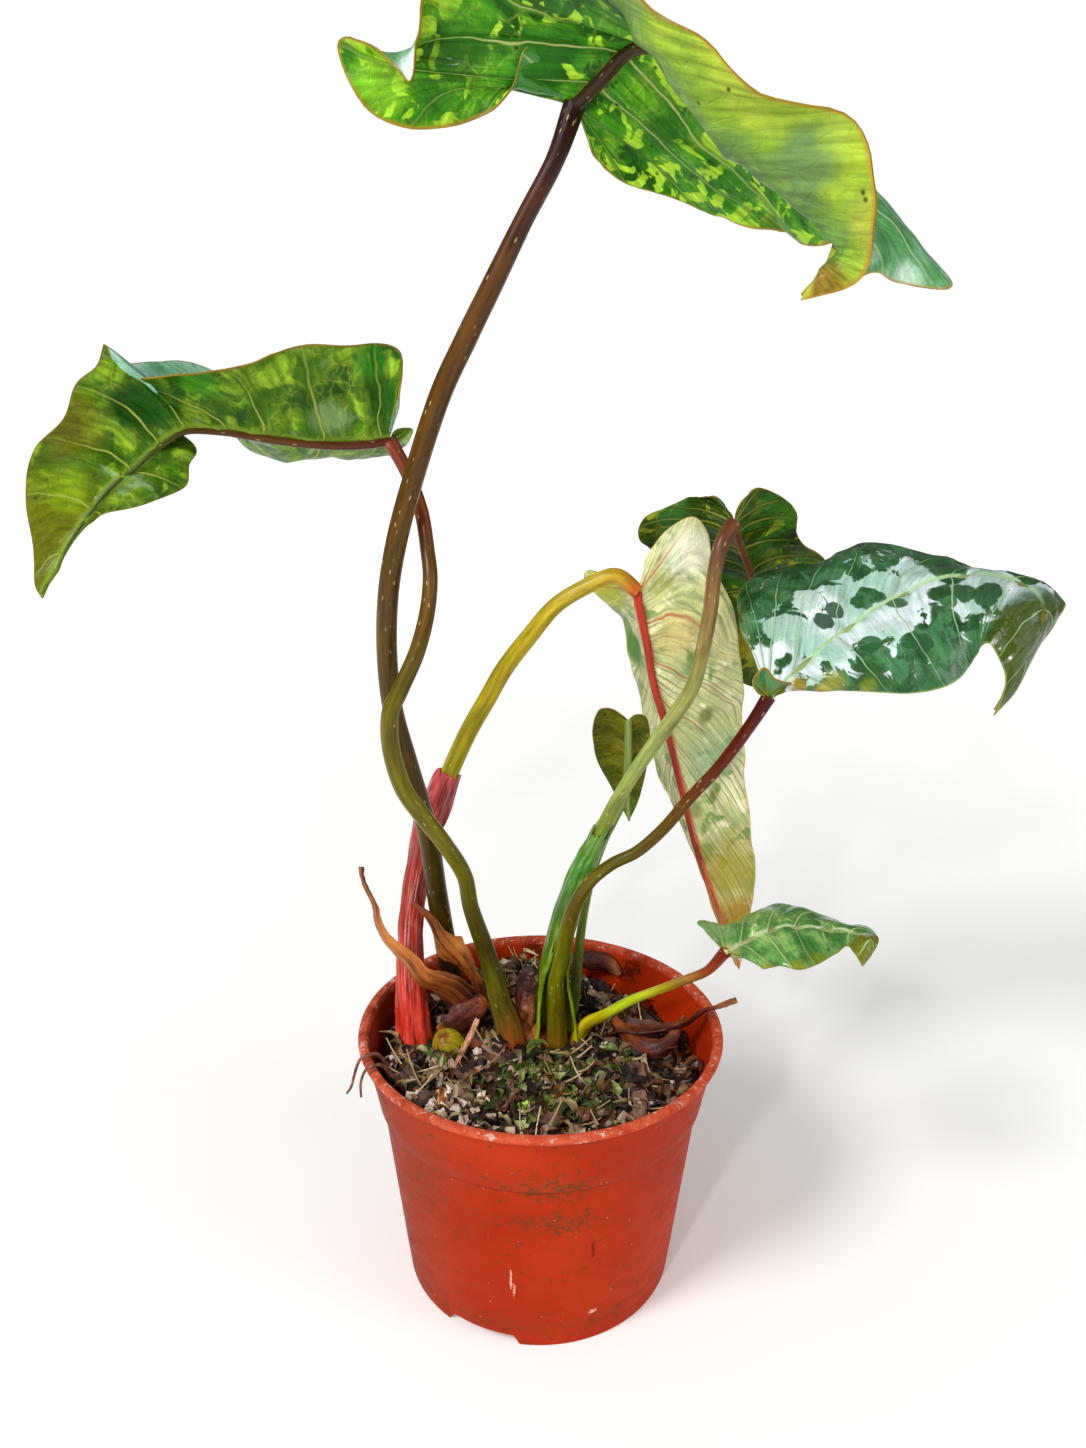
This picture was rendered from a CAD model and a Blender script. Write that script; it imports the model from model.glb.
# %% [markdown]
# # A potted philodendron
# This lesson dresses the solids of a young philodendron in a nursery pot. The solids give every
# piece its true place and size, so nothing here is fitted by eye: each piece is modelled over the
# solid that it stands for, in metres, with +Z up and the pot's foot on the floor at Z = 0.

# %% Load the solids as a fixed frame
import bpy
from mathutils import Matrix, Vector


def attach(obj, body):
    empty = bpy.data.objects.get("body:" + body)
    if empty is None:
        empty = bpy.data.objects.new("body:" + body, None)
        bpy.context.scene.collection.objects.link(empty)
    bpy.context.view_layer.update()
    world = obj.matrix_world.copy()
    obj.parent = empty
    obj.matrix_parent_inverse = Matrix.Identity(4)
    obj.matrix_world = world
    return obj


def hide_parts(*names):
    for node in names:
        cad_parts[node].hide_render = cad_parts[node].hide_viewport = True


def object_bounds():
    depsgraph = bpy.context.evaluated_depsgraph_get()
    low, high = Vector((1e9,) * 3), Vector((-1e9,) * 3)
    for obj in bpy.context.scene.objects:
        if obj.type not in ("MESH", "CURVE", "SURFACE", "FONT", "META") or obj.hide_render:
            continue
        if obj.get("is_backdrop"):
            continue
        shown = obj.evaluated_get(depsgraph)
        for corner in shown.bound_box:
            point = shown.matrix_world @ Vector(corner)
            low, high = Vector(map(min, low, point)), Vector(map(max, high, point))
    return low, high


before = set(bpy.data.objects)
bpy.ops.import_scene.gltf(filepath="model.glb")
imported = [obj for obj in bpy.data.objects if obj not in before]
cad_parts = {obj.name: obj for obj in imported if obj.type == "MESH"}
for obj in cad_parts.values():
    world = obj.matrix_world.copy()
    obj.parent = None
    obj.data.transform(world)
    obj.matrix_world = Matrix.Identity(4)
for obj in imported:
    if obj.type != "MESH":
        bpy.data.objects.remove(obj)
cad_low, cad_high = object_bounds()
print("solids:", len(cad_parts), "box", [round(v, 4) for v in (*cad_low, *cad_high)])

# %% [markdown]
# ## Small helpers
# Operators act on everything that is selected, so each step first clears the selection. A
# modifier is always applied at once, which leaves plain meshes that can be joined and baked.

# %% Selection and modifiers
import math
import random
import bpy
import numpy as np
from mathutils import Matrix, Vector, noise

MM = 0.001


def fresh():
    """Leaves edit mode and selects nothing."""
    if bpy.context.object and bpy.context.object.mode != "OBJECT":
        bpy.ops.object.mode_set(mode="OBJECT")
    bpy.ops.object.select_all(action="DESELECT")


def alone(piece):
    """Selects one piece only and makes it active."""
    fresh()
    piece.select_set(True)
    bpy.context.view_layer.objects.active = piece


def modify(piece, kind, **settings):
    """Adds a modifier, sets it and applies it."""
    alone(piece)
    bpy.ops.object.modifier_add(type=kind)
    modifier = piece.modifiers[-1]
    for key, value in settings.items():
        setattr(modifier, key, value)
    bpy.ops.object.modifier_apply(modifier=modifier.name)


def joined(pieces, name):
    """Joins pieces into the first one."""
    fresh()
    for piece in pieces:
        piece.select_set(True)
    bpy.context.view_layer.objects.active = pieces[0]
    bpy.ops.object.join()
    pieces[0].name = pieces[0].data.name = name
    return pieces[0]


def smooth(piece, angle=60):
    """Shades smooth, with a hard edge where faces meet at more than this angle."""
    alone(piece)
    bpy.ops.object.shade_smooth_by_angle(angle=math.radians(angle))


def in_skin(piece, *skins):
    """Gives a piece its materials in place of those it had."""
    piece.data.materials.clear()
    for skin in skins:
        piece.data.materials.append(skin)
    return piece


def dress(piece, node_names, slot, *skins):
    """Gives a finished piece its materials and its place in the frame."""
    if skins:
        in_skin(piece, *skins)
    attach(piece, "root")
    if node_names:
        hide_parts(*node_names)
    print(piece.name, len(piece.data.polygons), "faces")


# %% [markdown]
# ## Colours and nodes
# Colours are written as sRGB hex codes, as a paint program gives them, and one function turns
# them to the linear values that the shader works with. One more function adds a node, sets its
# options and links it, so a whole finish reads from top to bottom.

# %% Colour and node helpers
def linear(code):
    """#rrggbb to linear RGBA."""
    shares = [int(code[i:i + 2], 16) / 255 for i in (1, 3, 5)]
    return (*(p / 12.92 if p <= 0.04045 else ((p + 0.055) / 1.055) ** 2.4 for p in shares), 1.0)


def start_material(name):
    """Starts a material. The nodes that are added next go into it."""
    global tree
    made = bpy.data.materials.new(name)
    made.use_nodes = True
    tree = made.node_tree
    tree.nodes.clear()
    return made


def node(kind, inputs=None, out=0, stops=None, **settings):
    """Adds a node to the material that was started last and returns one of its outputs."""
    made = tree.nodes.new("ShaderNode" + kind)
    for key, value in settings.items():
        setattr(made, key, value)
    if stops:
        band = made.color_ramp
        band.elements[0].position, band.elements[1].position = stops[0][0], stops[-1][0]
        band.elements[0].color, band.elements[1].color = linear(stops[0][1]), linear(stops[-1][1])
        for place, code in stops[1:-1]:
            band.elements.new(place).color = linear(code)
    for key, value in (inputs or {}).items():
        if isinstance(value, bpy.types.NodeSocket):
            tree.links.new(value, made.inputs[key])
        else:
            made.inputs[key].default_value = linear(value) if isinstance(value, str) else value
    return made.outputs[out] if made.outputs else None


# %% Short names for the nodes used most
def lay(under, mask, over):
    """One colour over another, where the mask is 1."""
    return node("Mix", {0: mask, 6: under, 7: over}, out=2, data_type="RGBA")


def times(one, other):
    return node("Math", {0: one, 1: other}, operation="MULTIPLY")


def minus(one, other):
    return node("Math", {0: one, 1: other}, operation="SUBTRACT")


def added(value, share, base):
    """A share of the value on top of the base."""
    return node("Math", {0: value, 1: share, 2: base}, operation="MULTIPLY_ADD")


def comb(value):
    """Rises from 0 to 0.5 and falls again, once for each whole number."""
    return node("Math", {0: value, 1: 0.5}, operation="PINGPONG")


def fade(value, low, high, start=0.0, end=1.0, soft=False):
    """Goes from start to end while the value goes from low to high."""
    return node("MapRange", {0: value, 1: low, 2: high, 3: start, 4: end},
                interpolation_type="SMOOTHSTEP" if soft else "LINEAR")


def ramp(value, stops):
    return node("ValToRGB", {0: value}, stops=stops)


def clouds(place, mm, detail=2.0, rough=0.5, warp=0.0, out=0):
    """Noise with patches of about this size. Output 1 has three numbers."""
    return node("TexNoise", {"Vector": place, "Scale": 1000 / mm, "Detail": detail,
                             "Roughness": rough, "Distortion": warp}, out=out)


def cells(place, mm, scatter=1.0, feature="F1"):
    """Distance in cells of about this size, from their centres or from their edges."""
    return node("TexVoronoi", {"Vector": place, "Scale": 1000 / mm, "Randomness": scatter},
                feature=feature)


def shifted(place, mm, reach):
    """Places pushed about by noise, by up to the reach."""
    push = clouds(place, *mm, out=1)
    push = node("VectorMath", {0: push, 3: reach * MM}, operation="SCALE")
    return node("VectorMath", {0: place, 1: push}, operation="ADD")


def stretched(vector, x, y, z):
    return node("Mapping", {0: vector, 3: (x, y, z)})


def parts(vector):
    """The three numbers of a vector."""
    return tuple(node("SeparateXYZ", {0: vector}).node.outputs)


def distance(place, x, y, z):
    return node("VectorMath", {0: place, 1: (x * MM, y * MM, z * MM)}, out=1, operation="DISTANCE")


def shade(colour, roughness, height, strength, depth, **sockets):
    """Ends a material: its shader, with fine relief of this depth in millimetres."""
    relief = node("Bump", {"Height": height, "Strength": strength, "Distance": depth * MM})
    more = {name.replace("_", " "): value for name, value in sockets.items()}
    shader = node("BsdfPrincipled", {"Base Color": colour, "Roughness": roughness,
                                     "Normal": relief, **more})
    node("OutputMaterial", {"Surface": shader})


# %% [markdown]
# ## Camera, light and floor
# The camera stands about 32 cm in front of the pot and a little under the top leaf, and looks
# 17 degrees down. A wide lens that close makes the top leaf large and the pot taper, as a phone
# does. The light is a white studio: a bright world that is dimmer in reflections, so that colours
# stay deep, one wide lamp above on the left, a weaker one on the right, and a small one in front
# that gives the waxy leaves their sharp highlights.

# %% Camera, world, lamps and floor
CAMERA_PLACE = (0, -0.3159, 0.2908)
LOOKS_DOWN, LEANS = 17.3, 0.43  # degrees
camera_data = bpy.data.cameras.new("camera")
camera_data.sensor_width = 36
camera_data.lens = 27.05
camera_data.clip_start = 0.01
camera = bpy.data.objects.new("camera", camera_data)
bpy.context.scene.collection.objects.link(camera)
camera.matrix_world = (
    Matrix.Translation(CAMERA_PLACE)
    @ Matrix.Rotation(math.radians(90 - LOOKS_DOWN), 4, "X")
    @ Matrix.Rotation(math.radians(LEANS), 4, "Z")
)
bpy.context.scene.camera = camera
bpy.context.scene.view_settings.view_transform = "Standard"

world = bpy.data.worlds.new("studio")
world.use_nodes = True
tree = world.node_tree
sky = tree.nodes["Background"]
sky.inputs["Color"].default_value = linear("#ffffff")
rays = node("LightPath").node
seen = added(rays.outputs["Is Camera Ray"], 0.65, 0.36)
seen = added(rays.outputs["Is Glossy Ray"], -0.24, seen)
tree.links.new(seen, sky.inputs["Strength"])
bpy.context.scene.world = world


def lamp(name, place, size, watts):
    """A round lamp that faces the middle of the plant."""
    fresh()
    bpy.ops.object.light_add(type="AREA", location=place)
    made = bpy.context.object
    made.name = name
    made.data.shape = "DISK"
    made.data.size = size
    made.data.energy = watts
    to_plant = Vector((0, 0, 0.2)) - Vector(place)
    made.rotation_euler = to_plant.to_track_quat("-Z", "Y").to_euler()


lamp("lamp_left", (-0.8, -0.7, 1.15), 0.45, 15)
lamp("lamp_right", (1.1, -0.5, 0.7), 0.6, 4)
lamp("lamp_window", (-0.35, -0.9, 0.75), 0.07, 2.6)

fresh()
bpy.ops.mesh.primitive_plane_add(size=12, location=(0, 0, 0))
floor = bpy.context.object
floor.name = "floor"
paper = start_material("studio_paper")
away = node("VectorMath", {0: node("TexCoord", out=3)}, out=1, operation="LENGTH")
glow = fade(away, 0.12, 1.4, 0.12, 0.75)
shader = node(
    "BsdfPrincipled",
    {"Base Color": "#f7f7f5", "Roughness": 0.9, "Specular IOR Level": 0.1,
     "Emission Color": "#ffffff", "Emission Strength": glow})
node("OutputMaterial", {"Surface": shader})
floor.data.materials.append(paper)
floor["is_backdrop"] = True

# %% [markdown]
# ## The pot
# A nursery pot is moulded in one shot of polypropylene: a tapering wall about 1 mm thick, a
# wider band at the rim with a rolled bead, and a foot ring with notches that let water run out.
# It is made as a potter would draw it: a disc for the middle of its underside, and then its
# edge is extruded and scaled ring by ring through the profile, out, up, over the lip and down
# inside to the floor. The rings with a small step between them keep the moulded edges crisp.

# %% Pot: one disc extruded through the profile
WALL, FOOT_RADIUS, BAND_RADIUS, BAND_HEIGHT = 1.1, 45.2, 52.7, 65.3
HUB_RADIUS = 16
SIDES = 144


def inner_radius(height):
    """Radius of the wall's inner face at a height under the rim band."""
    taper = (BAND_RADIUS - FOOT_RADIUS) / BAND_HEIGHT
    return FOOT_RADIUS + taper * height - WALL


POT_PROFILE = [(HUB_RADIUS, 0), (16.4, 0.5), (16.4, 4), (42.8, 4), (43.2, 3.6), (43.2, 0.4),
               (43.6, 0), (44.9, 0), (45.25, 0.35), (45.4, 2), (46.4, 10), (48.1, 25), (50.4, 45),
               (52.55, 64), (52.8, 65.1), (53.5, 65.6), (54.0, 66.4), (55.0, 72), (58.0, 86.1),
               (58.9, 86.5), (59.7, 87.0), (60.0, 87.7), (59.8, 88.5), (59.1, 88.95), (58.2, 89.0),
               (57.3, 88.8), (56.8, 88.2), (55.0, 78), (53.2, 68), (52.6, 66.6),
               (inner_radius(63.8), 63.8), (inner_radius(40), 40), (inner_radius(6), 6.2),
               (44.2, 5.4),]

fresh()
bpy.ops.mesh.primitive_circle_add(vertices=SIDES, radius=HUB_RADIUS * MM, fill_type="NGON")
pot = bpy.context.object
pot.name = "pot_moulding"
bpy.ops.object.mode_set(mode="EDIT")
bpy.ops.mesh.select_mode(type="EDGE")
bpy.ops.mesh.select_all(action="SELECT")
bpy.ops.mesh.region_to_loop()
for (radius, height), (wider, higher) in zip(POT_PROFILE, POT_PROFILE[1:]):
    rise = (0, 0, (higher - height) * MM)
    bpy.ops.mesh.extrude_edges_move(TRANSFORM_OT_translate={"value": rise})
    bpy.ops.transform.resize(value=(wider / radius, wider / radius, 1), center_override=(0, 0, 0))
bpy.ops.mesh.edge_face_add()
bpy.ops.mesh.select_all(action="SELECT")
bpy.ops.mesh.normals_make_consistent(inside=False)
bpy.ops.object.mode_set(mode="OBJECT")
print("pot", tuple(round(v, 4) for v in pot.dimensions))

# %% [markdown]
# The foot ring stops at three notches. They are made by lifting the ring's lowest edge up to
# the floor wherever its angle lies inside a notch. Six drain holes are then drilled through
# the floor with cylinders, by a Boolean modifier.

# %% Pot: notches and drain holes
NOTCHES, NOTCH_HALF = (-115, 5, 125), 15  # degrees
DRAIN_RADIUS, DRAIN_CIRCLE = 4.5, 30
for vertex in pot.data.vertices:
    radius = math.hypot(vertex.co.x, vertex.co.y) / MM
    angle = math.degrees(math.atan2(vertex.co.y, vertex.co.x))
    off = min(abs((angle - notch + 180) % 360 - 180) for notch in NOTCHES)
    if radius > 42 and vertex.co.z < 3.5 * MM and off < NOTCH_HALF:
        vertex.co.z = 3.4 * MM + vertex.co.z * 0.1

drills = []
for notch in NOTCHES:
    for turn in (0, 60):
        fresh()
        angle = math.radians(notch + turn)
        bpy.ops.mesh.primitive_cylinder_add(
            vertices=24, radius=DRAIN_RADIUS * MM, depth=6 * MM,
            location=(DRAIN_CIRCLE * MM * math.cos(angle), DRAIN_CIRCLE * MM * math.sin(angle),
                      4.7 * MM))
        drills.append(bpy.context.object)
drill = joined(drills, "drill")
modify(pot, "BOOLEAN", object=drill, operation="DIFFERENCE", solver="EXACT")
bpy.data.objects.remove(drill)
smooth(pot, 32)

# %% [markdown]
# ## Curves and tubes
# Every stem and every leaf edge is a smooth curve through a few measured points. `through` is
# the same curve that the solids were made with, so the pieces land on them. A stem is a path
# with a round bevel and a radius at each point, turned to a mesh. Each of its vertices keeps
# its place around and along the stem, in `grain`, for a pattern that follows the stem.

# %% A smooth curve and a tube along it
def through(points, share):
    """Points on the Catmull-Rom curve through `points`, at shares from 0 to 1."""
    points = np.asarray(points, float)
    last = len(points) - 1
    u = np.clip(np.atleast_1d(np.asarray(share, float)), 0, 1) * last
    i = np.minimum(u.astype(int), last - 1)
    t = (u - i)[:, None]
    padded = np.vstack([2 * points[0] - points[1], points, 2 * points[-1] - points[-2]])
    a, b, c, d = padded[i], padded[i + 1], padded[i + 2], padded[i + 3]
    return 0.5 * (2 * b + (c - a) * t + (2 * a - 5 * b + 4 * c - d) * t ** 2
                  + (3 * b - a - 3 * c + d) * t ** 3)


def unit(vectors):
    """Each vector at length 1."""
    return vectors / np.maximum(np.linalg.norm(vectors, axis=-1, keepdims=True), 1e-12)


def set_grain(mesh, values):
    """Stores a vector at each vertex, in metres."""
    layer = mesh.attributes.new("grain", "FLOAT_VECTOR", "POINT")
    layer.data.foreach_set("vector", np.asarray(values, np.float32).ravel())


def places_of(mesh):
    """The vertices' places in metres, one row each."""
    flat = np.empty(len(mesh.vertices) * 3)
    mesh.vertices.foreach_get("co", flat)
    return flat.reshape(-1, 3)


def frames_along(points):
    """Directions across a route that turn with it and never spin."""
    tangents = unit(np.gradient(points, axis=0))
    side = np.array((0, -1, 0.1))
    sides = []
    for tangent in tangents:
        side = unit(side - tangent * side.dot(tangent))
        sides.append(side)
    sides = np.array(sides)
    return tangents, sides, np.cross(tangents, sides)


def stalk(name, rows, steps, sides=18):
    """A tube through rows of x, y, z and radius, in millimetres."""
    share = np.linspace(0, 1, steps)
    rows = np.asarray(rows, float)
    route = through(rows[:, :3], share)
    radii = np.interp(share, np.linspace(0, 1, len(rows)), rows[:, 3])
    fresh()
    bpy.ops.curve.primitive_nurbs_path_add()
    piece = bpy.context.object
    piece.name = name
    path = piece.data
    path.splines.clear()
    spline = path.splines.new("POLY")
    spline.points.add(steps - 1)
    for point, place, radius in zip(spline.points, route * MM, radii):
        point.co = (*place, 1)
        point.radius = radius
    path.bevel_depth = MM
    path.bevel_resolution = sides // 2 - 2
    path.use_fill_caps = True
    bpy.ops.object.convert(target="MESH")
    piece = bpy.context.object
    mesh = piece.data
    spots = places_of(mesh) / MM
    near = ((spots[:, None] - route[None]) ** 2).sum(axis=2).argmin(axis=1)
    _, across, up = frames_along(route)
    length = np.concatenate([[0], np.cumsum(np.linalg.norm(np.diff(route, axis=0), axis=1))])
    away = spots - route[near]
    set_grain(mesh, np.stack([(away * across[near]).sum(axis=1), (away * up[near]).sum(axis=1),
                              length[near]], axis=1) * MM)
    smooth(piece, 50)
    return piece


# %% [markdown]
# ## Blades
# A blade's veins leave the midrib like bent rays and end at the margin. Each half is therefore
# a family of such rays: they start on the rib curve, the first share of them fanning out from
# the petiole's end, and stop on a margin curve that folds and dips as the living leaf does. No
# bend or sculpt stroke gives that shape, so a plain grid is added and each of its rows is laid
# on one ray. The vertices are then moved a little along the normal: down in the furrows over
# the veins, up in the cushions between them, and in small waves at the margin. The grid's
# coincident points are merged, and Solidify gives the thin sheet its two faces.

# %% Rays of one half
def half_rays(leaf, half, rows, cols):
    """Points of one half in millimetres, as rows of rays from the rib out."""
    turn = 1 if half == "right" else -1
    foot, tip = leaf["rib"][0], leaf["rib"][-1]
    q = np.linspace(0, 1, rows + 1)
    s = np.clip((q - leaf["fan"]) / (1 - leaf["fan"]), 0, 1)
    start, end = through(leaf["rib"], s), through([foot, *leaf[half]["edge"], tip], q)
    ahead = unit(through(leaf["rib"], np.minimum(s + 0.02, 1))
                 - through(leaf["rib"], np.maximum(s - 0.02, 0)))
    reach = end - start
    width = np.linalg.norm(reach, axis=1)[:, None]
    up = unit(np.cross(reach, ahead) * turn)
    middle = (start + end) / 2
    if "belly" in leaf[half]:
        control = 2 * through([foot, *leaf[half]["belly"], tip], q) - middle
    else:
        lead = 0.16 * width * np.minimum(1, 6 * s)[:, None]
        bulge = 2 * leaf[half]["arch"] * width * np.minimum(1, width / 15)
        control = middle - lead * ahead + bulge * up
    t = np.linspace(0, 1, cols + 1)[None, :, None]
    return ((1 - t) ** 2 * start[:,
                                 None] + 2 * t * (1 - t) * control[:, None] + t * t * end[:, None],
            np.repeat(width, cols + 1, axis=1))


# %% A grid laid on computed points
def add_grid(name, place, with_uvs):
    """A grid with its vertices at place[row, column], in millimetres. Also returns the row and
    column of each vertex."""
    rows, cols = place.shape[0] - 1, place.shape[1] - 1
    fresh()
    bpy.ops.mesh.primitive_grid_add(x_subdivisions=cols, y_subdivisions=rows, size=1,
                                    calc_uvs=with_uvs)
    piece = bpy.context.object
    piece.name = name
    flat = places_of(piece.data)
    col = np.rint((flat[:, 0] + 0.5) * cols).astype(int)
    row = np.rint((flat[:, 1] + 0.5) * rows).astype(int)
    piece.data.vertices.foreach_set("co", (place[row, col] * MM).ravel())
    return piece, row, col


def thicken(piece, thickness, **more):
    modify(piece, "SOLIDIFY", thickness=thickness * MM, offset=0, use_even_offset=False,
           use_quality_normals=True, **more)


def wander(place, mm, shift=(0, 0, 0)):
    """Smooth noise between about -1 and 1 at each point of a grid."""
    return np.array([[noise.noise(Vector(p) / mm + Vector(shift)) for p in row] for row in place])


# %% The whole blade
FURROW, CUSHION, ROUGH, WAVE = 0.5, 0.9, 0.9, 2.0  # mm


def blade(name, leaf, skins, rows=120, cols=22, thickness=0.55):
    """One blade over its rib. skins are for its upper face, underside, rim and rib."""
    right, right_width = half_rays(leaf, "right", rows, cols)
    left, left_width = half_rays(leaf, "left", rows, cols)
    place = np.concatenate([left[:, :0:-1], right], axis=1)
    width = np.concatenate([left_width[:, :0:-1], right_width], axis=1)
    across = np.broadcast_to(np.linspace(-1, 1, 2 * cols + 1), width.shape)
    q = np.broadcast_to(np.linspace(0, 1, rows + 1)[:, None], width.shape)
    normal = unit(np.cross(np.gradient(place, axis=1), np.gradient(place, axis=0)))
    for _ in range(4):
        pad = np.pad(normal, ((1, 1), (1, 1), (0, 0)), mode="edge")
        normal = unit(pad[:-2,
                          1:-1] + pad[2:, 1:-1] + pad[1:-1, :-2] + pad[1:-1, 2:] + pad[1:-1, 1:-1])
    fan = q[:, cols] <= leaf["fan"]
    normal[fan, cols] = unit(normal[fan].sum(axis=(0, 1)))
    veins, out = leaf["veins"], np.abs(across)
    pitch = np.maximum(np.linalg.norm(np.gradient(place, axis=0), axis=2) * rows / veins, 0.05)
    sweep = leaf.get("sweep", 0.04) * out ** leaf.get("bow", 1.0)
    phase = (q - sweep * np.minimum(1, 4 * np.maximum(q - leaf["fan"], 0))) * veins
    to_vein = np.abs(phase - np.round(phase)) * pitch
    step = np.linalg.norm(np.diff(place, axis=1), axis=2)
    from_rib = np.concatenate([np.cumsum(step[:, :cols][:, ::-1], axis=1)[:, ::-1],
                               np.zeros((rows + 1, 1)), np.cumsum(step[:, cols:], axis=1)], axis=1)
    from_rim = np.where(across < 0, from_rib[:, :1], from_rib[:, -1:]) - from_rib
    from_foot = np.linalg.norm(place - place[0, cols], axis=2)
    ease = np.minimum(1, width / 14) * np.minimum(1, from_foot / 10)
    lift = (-FURROW * np.exp(-(to_vein / 0.9) ** 2) * (1 - 0.7 * out)
            + CUSHION * (1 - np.exp(-(to_vein / 3.0) ** 2)) * (1 - out ** 3)
            + ROUGH * wander(place, 7.5) * (1 - np.exp(-(to_vein / 2.0) ** 2))
            + WAVE * wander(place, 16, (7, 3, 5)) * out ** 2)
    lift = lift * ease - 0.7 * np.exp(-((out * width) / 1.4) ** 2) * np.minimum(1, width / 8)
    place = place + normal * lift[..., None]
    piece, row, col = add_grid(name, place, True)
    mesh = piece.data
    corner = np.empty(len(mesh.loops), int)
    mesh.loops.foreach_get("vertex_index", corner)
    for label, u, v in (("leaf", across, phase), ("size", from_rim, pitch), ("rib", from_rib, q)):
        layer = mesh.uv_layers.new(name=label)
        both = np.stack([u[row, col][corner], v[row, col][corner]], axis=1)
        layer.data.foreach_set("uv", both.astype(np.float32).ravel())
    alone(piece)
    bpy.ops.object.mode_set(mode="EDIT")
    bpy.ops.mesh.select_all(action="SELECT")
    bpy.ops.mesh.remove_doubles(threshold=0.02 * MM)
    bpy.ops.object.mode_set(mode="OBJECT")
    for skin in skins[:3]:
        mesh.materials.append(skin)
    thicken(piece, thickness, material_offset=1, material_offset_rim=2)
    smooth(piece, 65)
    # The rib stands out below the sheet, and is thick at the petiole and thin at the tip.
    share = np.linspace(0, 0.985, 40)
    on_row = np.rint((leaf["fan"] + (1 - leaf["fan"]) * share) * rows).astype(int)
    thick, thin = leaf["rib_radius"]
    radius = thick + (thin - thick) * share
    line = through(leaf["rib"], share) - normal[on_row, cols] * (0.45 * radius + 0.5)[:, None]
    line[0] = leaf["rib"][0]
    rib = in_skin(stalk(name + "_rib", np.column_stack([line, radius]), 60, 12), skins[3])
    return joined([piece, rib], name)


# %% [markdown]
# ## The skin of a leaf
# A leaf is a thin waxy sheet. Its colour changes between the veins, darker and paler by turns,
# the veins are pale or red lines that thin out towards the margin, a fine net joins them, and
# the margin itself has a narrow coloured rim. The grid's own coordinates say how far each point
# is from a vein and from the margin in real millimetres, so veins and rim are drawn from those,
# and the clouding comes from noise in object space, which runs over both halves without a seam.

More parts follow.
